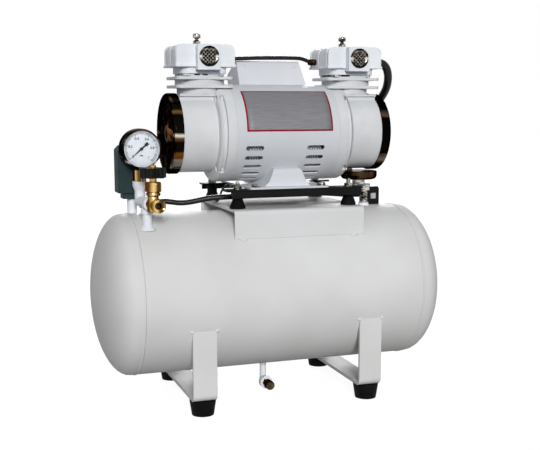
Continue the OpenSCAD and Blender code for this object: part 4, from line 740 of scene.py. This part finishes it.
def ratingPlate(sizes):
    (left, right), (low, high) = sizes["x"], sizes["angles"]
    columns, rows, radius = sizes["columns"], sizes["rows"], sizes["radius"]
    bm = bmesh.new()
    layer = bm.loops.layers.uv.new("plate")
    grid = []
    for j in range(rows + 1):
        angle = radians(low + (high - low) * j / rows)
        y = shaftMiddle[1] - radius * cos(angle)
        z = shaftMiddle[2] + radius * sin(angle)
        grid.append([bm.verts.new(Vector((left + (right - left) * i / columns, y, z)) * mm)
                     for i in range(columns + 1)])
    for j in range(rows):
        for i in range(columns):
            corners = [(i, j), (i + 1, j), (i + 1, j + 1), (i, j + 1)]
            face = bm.faces.new([grid[v][u] for u, v in corners])
            for loop, (u, v) in zip(face.loops, corners):
                loop[layer].uv = (u / columns, v / rows)
    mesh = bpy.data.meshes.new("ratingPlate")
    bm.to_mesh(mesh)
    bm.free()
    mesh.shade_smooth()
    plateFinish("plateSheet", plateLook, right - left, radius * radians(high - low))
    piece = newPiece("ratingPlate", mesh, "plateSheet")
    setAll(piece.modifiers.new("plateThickness", "SOLIDIFY"), offset=-1,
           thickness=sizes["thickness"] * mm)
    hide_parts("rating_plate")


ratingPlate(plateSizes)

# hoses, cable and earth wire, on the source's own routes
hoseRoutes = {
    "headHose": {"node": "link_hose", "radius": 2.8, "steps": 8, "sides": 20, "points": [
        (-43.5, 25, 460.95), (-34, 25, 461.5), (0, 25, 463), (48, 25, 463.6), (62, 25, 462.8),
        (71, 25, 460), (77.9, 25, 457.95)]},
    "dischargeHose": {"node": "discharge_hose", "radius": 5.8, "steps": 5, "sides": 28, "points": [
        (169.3, -2.5, 456.95), (175, -2.5, 455.8), (181, -1.5, 450.5), (185, 1, 442), (187, 5, 432),
        (187.5, 12, 421), (186, 24, 409), (183.5, 40, 397), (181.5, 58, 381), (178.5, 73.5, 361),
        (168, 78, 341), (158, 70, 322), (148.5, 54, 307), (142, 42, 300.6), (141, 32, 300)]},
    "switchCable": {"node": "switch_cable", "radius": 3.75, "steps": 4, "sides": 20, "points": [
        (-174.211, 9, 280.05), (-174.2, 9, 272), (-172, 9, 266), (-166, 8, 263), (-159, 6, 265),
        (-151, 5, 269), (-142, 4, 270.6), (-133, 2, 269.8), (-122, -2, 268.6), (-110, -5, 269.4),
        (-98, -8, 271.6), (-86, -11, 274), (-74, -13, 275.2), (-60, -15, 275.8), (-40, -16, 276.2),
        (-14, -13, 276.4), (14, -9, 276.4), (42, -4, 276.2), (68, 2, 275.4), (92, 9, 274),
        (112, 15, 272), (130, 20, 270), (142, 21, 269.5), (153.5, 21, 269.5)]},
    "earthWire": {"node": "earth_wire", "radius": 1.5, "steps": 6, "sides": 14, "points": [
        (-41, 37, 286.5), (-46, 37, 286), (-51, 37, 281), (-54.5, 37, 273), (-57.5, 36, 267),
        (-61, 35, 265)]},
}


def carried(points, steps):
    # a smooth curve through the points, as the source's own routes run
    out = []
    last = len(points) - 1
    for i in range(last):
        a, b = points[max(i - 1, 0)], points[i]
        c, d = points[i + 1], points[min(i + 2, last)]
        for t in [s / steps for s in range(steps)]:
            out.append(0.5 * (2 * b + (c - a) * t + (2 * a - 5 * b + 4 * c - d) * t * t
                              + (3 * b - a - 3 * c + d) * t * t * t))
    return out + [points[-1]]


def sleeve(path, radius, sides):
    # a round tube along a path, closed at both ends, with a map that runs along and round it
    rings, lengths, normal, far = [], [], None, 0.0
    for i, point in enumerate(path):
        along = (path[min(i + 1, len(path) - 1)] - path[max(i - 1, 0)]).normalized()
        if normal is None:
            normal = along.orthogonal().normalized()
        else:
            normal = (normal - along * normal.dot(along)).normalized()
            far += (point - path[i - 1]).length
        lengths.append(far)
        side = along.cross(normal)
        rings.append([point + radius * (x * normal + y * side) for x, y in around(sides)])
    faces = [(i * sides + k, i * sides + (k + 1) % sides,
              (i + 1) * sides + (k + 1) % sides, (i + 1) * sides + k)
             for i in range(len(path) - 1) for k in range(sides)]
    faces.append(tuple(range(sides - 1, -1, -1)))
    faces.append(tuple((len(path) - 1) * sides + k for k in range(sides)))
    mesh = bpy.data.meshes.new("sleeve")
    mesh.from_pydata([v for ring in rings for v in ring], [], faces)
    layer = mesh.uv_layers.new(name="sleeve")
    for polygon in mesh.polygons:
        for loop in polygon.loop_indices:
            vertex = mesh.loops[loop].vertex_index
            layer.data[loop].uv = (lengths[vertex // sides] * 10, (vertex % sides) / sides)
    mesh.shade_smooth()
    mesh.set_sharp_from_angle(angle=radians(50))
    return mesh


for name, route in hoseRoutes.items():
    path = carried([Vector(point) * mm for point in route["points"]], route["steps"])
    finish = "wireSleeve" if name == "earthWire" else "sleeve"
    piece = newPiece(name, sleeve(path, route["radius"] * mm, route["sides"]), finish,
                     stands=route["node"])
    sum((b - a).length for a, b in zip(path, path[1:]))
    tuple(path[0])
    [tuple(point) for point in path]

# crimped sleeves on the hose ends: direction, origin, radius, length, bore and finish
ferruleSizes = {
    "headHoseLeft": ((1, 0, 0), (-49.5, 25, 460.95), 4.0, 9, 2.8, "smokedChrome"),
    "headHoseRight": ((-1, 0, 0), (83.9, 25, 457.95), 4.2, 11, 2.8, "smokedChrome"),
    "dischargeTop": ((1, 0, 0), (163.3, -2.5, 456.95), 6.9, 8, 5.6, "hoseEndBlack"),
    "dischargeDrum": ((0, 1, 0), (141, 25.6, 300), 6.6, 9, 5.6, "hoseEndBlack"),
}
for name, (axis, origin, r, length, bore, finish) in ferruleSizes.items():
    place = alongAxis(axis, origin)
    shape = lathe([(bore * 0.6, 0), (r * 0.86, 0), (r, length * 0.12), (r, length * 0.4),
                   (r * 0.93, length * 0.47), (r, length * 0.54), (r, length * 0.84),
                   (r * 0.93, length), (bore, length)], 32)
    shapedPiece(name, shape, finish, place, angle=40)
    ribPiece(name + "Ribs", 3, length * 0.12, r, 0.18, "smokedChrome",
             place @ shift(0, 0, length * 0.6))

# lugs of the earth wire
lugSizes = {"section": [(1.6, -0.5), (3.5, -0.5), (3.5, 0.5), (1.6, 0.5)], "sides": 24,
            "spots": [(-38.0, 37.0, 286.0), (-61.0, 35.0, 264.6)]}
turnedPiece("earthLugs", lugSizes)

# bolts of the rubber mounts and the motor foot, and screws of the rubber feet; a collar is a
# washer or a screw's head, given as its section
boltSizes = {"radius": 3.0, "pitch": 1.0, "flats": 9.96}
boltKinds = {
    "mountBolts": {
        "stands": "base_bolts", "rod": (260.15, 299.35), "smoothTo": 286,
        "hexes": [(255.95, 260.15), (288.55, 292.75)],
        "collar": [(3.2, 288.55), (5.9, 288.55), (5.9, 289.15), (3.2, 289.15)],
        "x": (-54.8, 104.2), "y": (-48.0, 77.0)},
    "footBolts": {
        "stands": "base_bolts", "rod": (286.05, 292.05), "smoothTo": 290,
        "hexes": [(281.85, 286.05), (291.4, 295.25)],
        "collar": [(3.2, 291.05), (5.9, 291.05), (5.9, 291.65), (3.2, 291.65)],
        "x": (-30.5, 62.5), "y": (-52.0, 76.0)},
    "footScrews": {
        "stands": "foot_screws", "rod": (7.5, 30.72), "smoothTo": 23, "hexes": [(24.0, 28.8)],
        "collar": [(0, 4.5), (4.6, 4.5), (5.1, 5.0), (5.1, 7.5), (6.0, 7.5), (6.0, 9.0), (0, 9.0)],
        "x": (-116.0, 116.0), "y": (-88.0, 88.0)},
}


def threaded(low, high, smoothTo, radius, pitch):
    # a rod that is smooth up to a height and threaded above it
    profile = [(0, low), (radius * 0.8, low), (radius, low + 0.4), (radius, smoothTo)]
    z = smoothTo
    while z + pitch < high - 0.4:
        profile += [(radius * 0.86, z + pitch / 2), (radius, z + pitch)]
        z += pitch
    return lathe(profile + [(radius * 0.8, high), (0, high)], 20)


for name, kind in boltKinds.items():
    rod = threaded(*kind["rod"], kind["smoothTo"], boltSizes["radius"], boltSizes["pitch"])
    hexes = [hexBlock(boltSizes["flats"], *ends) for ends in kind["hexes"]]
    bolt = joined([rod, *hexes, lathe(kind["collar"], 28, True)])
    spots = [(x, y, 0) for x in kind["x"] for y in kind["y"]]
    repeatedPiece(name, bolt, spots, "zincPlate", stands=kind["stands"])

# socket screws of the heads, and long bolts that clamp the end castings on the motor
turnedKinds = {
    "headScrews": {
        "section": [(0, 432.15), (2.2, 432.15), (2.5, 432.55), (2.5, 472.55), (4.0, 472.55),
                    (4.0, 476.05), (3.5, 476.55), (2.2, 476.55), (2.2, 474.55), (0, 474.55)],
        "sides": 24, "stands": "head_bolts",
        "spots": [(middle + dx, 12.0 + dy, 0)
                  for middle in (-89.2, 123.6) for dx in (-25, 25) for dy in (-23, 23)]},
    "clampBolts": {
        "section": [(0, -88.6), (3.9, -88.6), (4.5, -88.0), (4.5, -85.1), (2.5, -85.1), (2.5, 85.1),
                    (4.5, 85.1), (4.5, 88.0), (3.9, 88.6), (0, 88.6)],
        "sides": 28, "stands": "clamp_bolts", "finish": "castEnamel",
        "spots": [(x, y, 0) for y in (-36.044, 36.044) for x in (-45.312, 45.312)],
        "place": shift(*shaftMiddle) @ turn(-90, "Y")},
}
for name, kind in turnedKinds.items():
    turnedPiece(name, kind)
print("bolts grown")

# fans: a hub and curved blades on each end of the shaft
fanSizes = {"blades": 8, "hub": 12.0, "tip": 42.6, "chord": 12.0, "thickness": 1.4, "pitch": 40,
            "camber": 1.6, "sink": 1.2, "first": 0.2, "middles": {"Left": -130.8, "Right": 165.2},
            "hubSection": [(6.0, -4.9), (10.5, -4.9), (12.0, -3.6), (12.0, 3.6), (10.5, 4.9),
                           (6.0, 4.9)]}


def fanBlade(s):
    bm = bmesh.new()
    rows, lean, reach = [], radians(s["pitch"]), s["tip"] - s["hub"] + s["sink"]
    for share in [j / 6 for j in range(7)]:
        radius = s["hub"] - s["sink"] + reach * share
        chord = s["chord"] * (1 if share < 0.8 else 1 - (share - 0.8) * 1.2)
        row = []
        for t in [i / 6 - 0.5 for i in range(7)]:
            along, lift = t * chord, s["camber"] * (0.25 - t * t) * 4
            y = along * sin(lean) + lift * cos(lean)
            z = along * cos(lean) - lift * sin(lean)
            row.append(bm.verts.new(Vector((radius, y, z)) * mm))
        rows.append(row)
    for low, high in zip(rows, rows[1:]):
        for i in range(6):
            bm.faces.new((low[i], low[i + 1], high[i + 1], high[i]))
    bmesh.ops.solidify(bm, geom=bm.faces[:], thickness=s["thickness"] * mm)
    return bm


blade = partObject(fanBlade(fanSizes), "bladePart", 50)
bladeRing = (fanSizes["blades"], 0.0, fanSizes["first"], 2 * pi / fanSizes["blades"])
for side, middle in fanSizes["middles"].items():
    place = shift(middle, *shaftMiddle[1:]) @ turn(90, "Y")
    ringPiece("fanBlades" + side, blade, bladeRing, "fanResin", place, "fans", "shaft")
    hub = lathe(fanSizes["hubSection"], 40, True)
    shapedPiece("fanHub" + side, hub, "fanResin", place, body="shaft")
print("fans grown")

# intake filters: felt behind a woven wire screen
filterSizes = {
    "centres": {"Left": (-87.7, -33.8, 461.85), "Right": (125.1, -33.8, 461.85)},
    "radius": 10.6, "pitch": 3.5, "wire": 0.46,
    "dish": [(8.4, -1.4), (11.65, -1.4), (11.65, 0.9), (11.2, 0.9), (9.0, -0.1), (8.4, -0.6)],
    "felt": [(0, -4.0), (8.4, -4.0), (8.4, -1.4), (9.4, -1.4), (9.4, -0.9), (0, -0.75)]}
for side, centre in filterSizes["centres"].items():
    place = alongAxis((0, -1, 0), centre)
    sizes = {"Disc radius": filterSizes["radius"] * mm, "Wire pitch": filterSizes["pitch"] * mm,
             "Wire radius": filterSizes["wire"] * mm}
    grownPiece("wireScreen" + side, "screen", sizes, "screenWire", place, "filter_screens")
    dish, felt = lathe(filterSizes["dish"], 48, True), lathe(filterSizes["felt"], 40)
    shapedPiece("filterDish" + side, dish, "filterChrome", place)
    shapedPiece("filterFelt" + side, felt, "filterFelt", place)
print("filters grown")

# gauge face: strokes as count, length and width, arcs as radius and width, and plain figures
gaugeSizes = {"centre": (-180.339, -38.83, 343.2), "zero": 221.0, "sweep": 270.0, "outer": 21.0,
              "strokes": {"longStrokes": (11, 3.2, 0.5), "shortStrokes": (51, 1.6, 0.3)},
              "arcs": ((21.0, 0.3), (19.4, 0.2)), "arcSteps": 72, "lift": 0.05,
              "figures": ["0", "0.2", "0.4", "0.6", "0.8", "1"], "figureRadius": 14.4,
              "figureSize": 4.4, "figureWeight": 0.12, "unit": ("MPa", 2.6, 270, 8.5)}
g = gaugeSizes
facing = shift(*g["centre"]) @ turn(90, "X")


def arcStrip(radius, width):
    bm = bmesh.new()
    rings = []
    for k in range(g["arcSteps"] + 1):
        angle = radians(g["zero"] - g["sweep"] * k / g["arcSteps"])
        inner, outer = radius - width / 2, radius + width / 2
        corners = ((inner, 0), (outer, 0), (outer, g["lift"]), (inner, g["lift"]))
        rings.append([bm.verts.new(Vector((r * cos(angle), r * sin(angle), z)) * mm)
                      for r, z in corners])
    for low, high in zip(rings, rings[1:]):
        for k in range(4):
            bm.faces.new((low[k], low[(k + 1) % 4], high[(k + 1) % 4], high[k]))
    bm.faces.new(rings[0])
    bm.faces.new(rings[-1][::-1])
    return bm


def figureMesh(words, size, angle, radius):
    curve = setAll(bpy.data.curves.new("figure", "FONT"), body=words, size=size * mm,
                   extrude=g["lift"] / 2 * mm, offset=g["figureWeight"] * mm,
                   align_x="CENTER", align_y="CENTER")
    mesh = plainMesh(placed("figure", curve))
    angle = radians(angle)
    mesh.transform(shift(radius * cos(angle), radius * sin(angle), g["lift"] / 2))
    return mesh


def gaugeFace():
    for name, (count, length, width) in g["strokes"].items():
        stroke = block(length, width, g["lift"])
        stroke.transform(shift(-length / 2, 0, g["lift"] / 2))
        ring = (count, g["outer"], radians(g["zero"]), -radians(g["sweep"]) / (count - 1))
        ringPiece(name, partObject(stroke, name + "Part"), ring, "needleBlack", facing)
    arcs = joined([arcStrip(*arc) for arc in g["arcs"]])
    shapedPiece("gaugeArcs", arcs, "needleBlack", facing)
    figures = bmesh.new()
    marks = [(words, g["figureSize"], g["zero"] - g["sweep"] * k / 5, g["figureRadius"])
             for k, words in enumerate(g["figures"])]
    for mark in [*marks, g["unit"]]:
        mesh = figureMesh(*mark)
        figures.from_mesh(mesh)
        bpy.data.meshes.remove(mesh)
    whole = bpy.data.meshes.new("gaugeFigures")
    figures.to_mesh(whole)
    figures.free()
    newPiece("gaugeFigures", whole, "needleBlack", facing)


gaugeFace()
print("gauge face drawn")

# stopcock: body with a ring and a gland nut, outlet nut with a dished mouth, hex under the gauge,
# and a dark liner in the outlet's bore as painted shade
cockSizes = {
    "tee": (-177, -51, 275), "turn": 7, "run": 25.4, "glandFlats": 18, "gland": (16, 29),
    "adapterFlats": 15.4, "adapter": (26, 41), "adapterRun": 27.4,
    "body": [(0, -9), (6.4, -9), (8, -7.4), (8, 5), (7.4, 7), (6.5, 8.6), (6.5, 10.4), (7.4, 11.2),
             (8.7, 11.8), (9, 12.8), (9, 14.4), (8.6, 15.4), (7.4, 15.9), (7.4, 16.2), (0, 16.2)],
    "outlet": [(6.5, -10.4), (6.5, 12.6), (7.2, 13.6), (8.6, 14.4), (9, 15.4), (9, 16.6),
               (8.7, 17.1), (9, 17.6), (9, 21.2), (8.2, 22.6), (7.7, 22.6), (4.4, 20.4), (4, 20),
               (4, 12.6), (0, 12.6)],
    "throat": [(0, 12.62), (3.99, 12.62), (3.99, 19.9), (3.9, 19.9), (3.9, 13), (0, 13)]}


def stopcock(s):
    tee = shift(*s["tee"]) @ turn(s["turn"], "Z")
    cock = tee @ shift(0, -s["run"], 0)
    outlet = cock @ alongAxis((0, -1, 0))
    shapes = [(lathe(s["body"], 40), cock), (hexBlock(s["glandFlats"], *s["gland"], 2.0), cock),
              (lathe(s["outlet"], 40), outlet),
              (hexBlock(s["adapterFlats"], *s["adapter"], 1.2), tee @ shift(0, s["adapterRun"], 0))]
    for shape, place in shapes:
        shape.transform(place)
    shapedPiece("brassStopcock", joined([shape for shape, place in shapes]), "stopcockBrass",
                stands="brass_fittings", angle=34)
    # dark liner over the wall and floor of the outlet's bore: painted shade in the bore
    shapedPiece("outletThroat", lathe(s["throat"], 32), "darkBronze", outlet, angle=34)


stopcock(cockSizes)

# weld beads at the saddle's front edge and at the corners of the straps, as spots and half sizes
weldSizes = {"saddle": ([(-54.8, -76.6, 225.0), (102.0, -76.6, 225.0)], (5.0, 2.4, 2.4)),
             "straps": ([(x, -102.6, 113) for x in (-132.5, -99.5, 99.5, 132.5)], (2.6, 2.0, 2.4))}
beads = []
for spots, half in weldSizes.values():
    for spot in spots:
        bead = bmesh.new()
        bmesh.ops.create_icosphere(bead, subdivisions=3, radius=1.0)
        bead.transform(shift(*spot) @ Matrix.Diagonal([size * mm for size in half] + [1]))
        beads.append(bead)
shapedPiece("weldBeads", joined(beads), "receiverEnamel")

# ribs of the nipple under the chrome block
nippleSizes = {"spot": (149, 0, 261.6), "count": 7, "pitch": 2.2, "radius": 5.6, "thickness": 0.55}
s = nippleSizes
ribPiece("nippleRibs", s["count"], s["pitch"], s["radius"], s["thickness"], "brightChrome",
         shift(*s["spot"]))

# drain knob with a fine grip round it
drainSizes = {"place": (-4, -22.3, 11.5), "radius": 6.1, "hole": 2.55, "length": 13,
              "ridges": 22, "ridge": 0.55, "sink": 0.2}


def drainKnob(s):
    r, hole, length = s["radius"], s["hole"], s["length"]
    place = alongAxis((0, -1, 0), s["place"])
    knob = lathe([(hole, 0), (r * 0.8, 0), (r, r / 4), (r, length - r / 4), (r * 0.8, length),
                  (0, length), (0, length - 1), (hole, length - 1)], 44, True)
    shapedPiece("drainKnobBody", knob, "darkBronze", place, "drain_knob", "drain_knob")
    half = (length - r / 2 - 1) / 2
    ridge = partObject(prism(s["ridge"], length / 2 - half, length / 2 + half), "ridgePart")
    ring = (s["ridges"], r - s["sink"], 0.0, 2 * pi / s["ridges"])
    ringPiece("drainKnobGrip", ridge, ring, "darkBronze", place, body="drain_knob")


drainKnob(drainSizes)

# lid screws of the capacitor box
lidScrewSizes = {
    "section": [(0, -1.0), (2.0, -1.0), (2.0, 0.45), (1.4, 0.9), (0.5, 0.95), (0, 0.6)],
    "sides": 20, "finish": "pumpEnamel", "spots": [(-41, 0, 0.2), (35.5, 0, 0.2)],
    "place": shift(*shaftMiddle) @ turn(-25, "X") @ shift(2, -25.0, 88.7) @ turn(90, "X")}
turnedPiece("capacitorScrews", lidScrewSizes)

# pale mark on the junction box
markSizes = {"spot": (168.5, 8.7, 268.0), "sides": (8, 0.6, 8), "ease": 0.2}
mark = block(*markSizes["sides"])
bmesh.ops.bevel(mark, geom=mark.edges[:], offset=markSizes["ease"] * mm, segments=2, affect="EDGES")
shapedPiece("junctionMark", mark, "paleMark", shift(*markSizes["spot"]))
print("small fittings made")

# floor, world and lamps; the floor's size is in metres and the world's colour in light values
stageLook = {"floor": (240, 240, 238), "bounce": (112, 112, 110), "size": 16, "whiteShare": 0.74,
             "whiteStrength": 1.23, "world": (0.96, 0.98, 1.0, 1.0), "worldStrength": 0.27,
             "suns": {"frontSun": {"from": (-0.2, -0.93, 0.3), "strength": 2.45, "angle": 14},
                      "rearSun": {"from": (0.3, 0.88, 0.3), "strength": 1.8, "angle": 20}}}


def pathRays(tree):
    # rays that see the background: the camera's, and those that metal and glass send on
    rays = addNode(tree, "ShaderNodeLightPath").outputs
    seen = maths(tree, "MAXIMUM", rays["Is Camera Ray"], rays["Is Glossy Ray"])
    return maths(tree, "MAXIMUM", seen, rays["Is Transmission Ray"])


def mixShader(tree, share, first, second):
    return output(tree, "ShaderNodeMixShader", {0: share, 1: first, 2: second})


def makeFloor(look):
    half = look["size"] / 2
    mesh = bpy.data.meshes.new("floor")
    corners = [(-half, -half, 0), (half, -half, 0), (half, half, 0), (-half, half, 0)]
    mesh.from_pydata(corners, [], [(0, 1, 2, 3)])
    floor = placed("floor", mesh)
    material = bpy.data.materials.new("paleFloor")
    tree = emptyTree(material)
    matt, bounce = [output(tree, "ShaderNodeBsdfDiffuse", {"Color": screenColour(look[key])})
                    for key in ("floor", "bounce")]
    white = output(tree, "ShaderNodeEmission", {"Strength": look["whiteStrength"]})
    pale = mixShader(tree, look["whiteShare"], matt, white)
    surface = mixShader(tree, pathRays(tree), bounce, pale)
    addNode(tree, "ShaderNodeOutputMaterial", {"Surface": surface})
    mesh.materials.append(material)


def makeWorld(look):
    world = bpy.data.worlds.new("studio")
    bpy.context.scene.world = world
    tree = emptyTree(world)
    skies = ((look["world"], look["worldStrength"]), ((1, 1, 1, 1), 1.0))
    soft, seen = [output(tree, "ShaderNodeBackground", {"Color": colour, "Strength": strength})
                  for colour, strength in skies]
    addNode(tree, "ShaderNodeOutputWorld", {"Surface": mixShader(tree, pathRays(tree), soft, seen)})


def makeLamps(look):
    for name, sun in look["suns"].items():
        data = bpy.data.lights.new(name, "SUN")
        data.energy, data.angle = sun["strength"], radians(sun["angle"])
        lamp = placed(name, data)
        lamp.location = sun["from"]
        lamp.rotation_euler = (-Vector(sun["from"])).to_track_quat("-Z", "Y").to_euler()


makeFloor(stageLook)
makeWorld(stageLook)
makeLamps(stageLook)
bpy.context.scene.view_settings.view_transform = "Standard"
print("stage and lamps set")
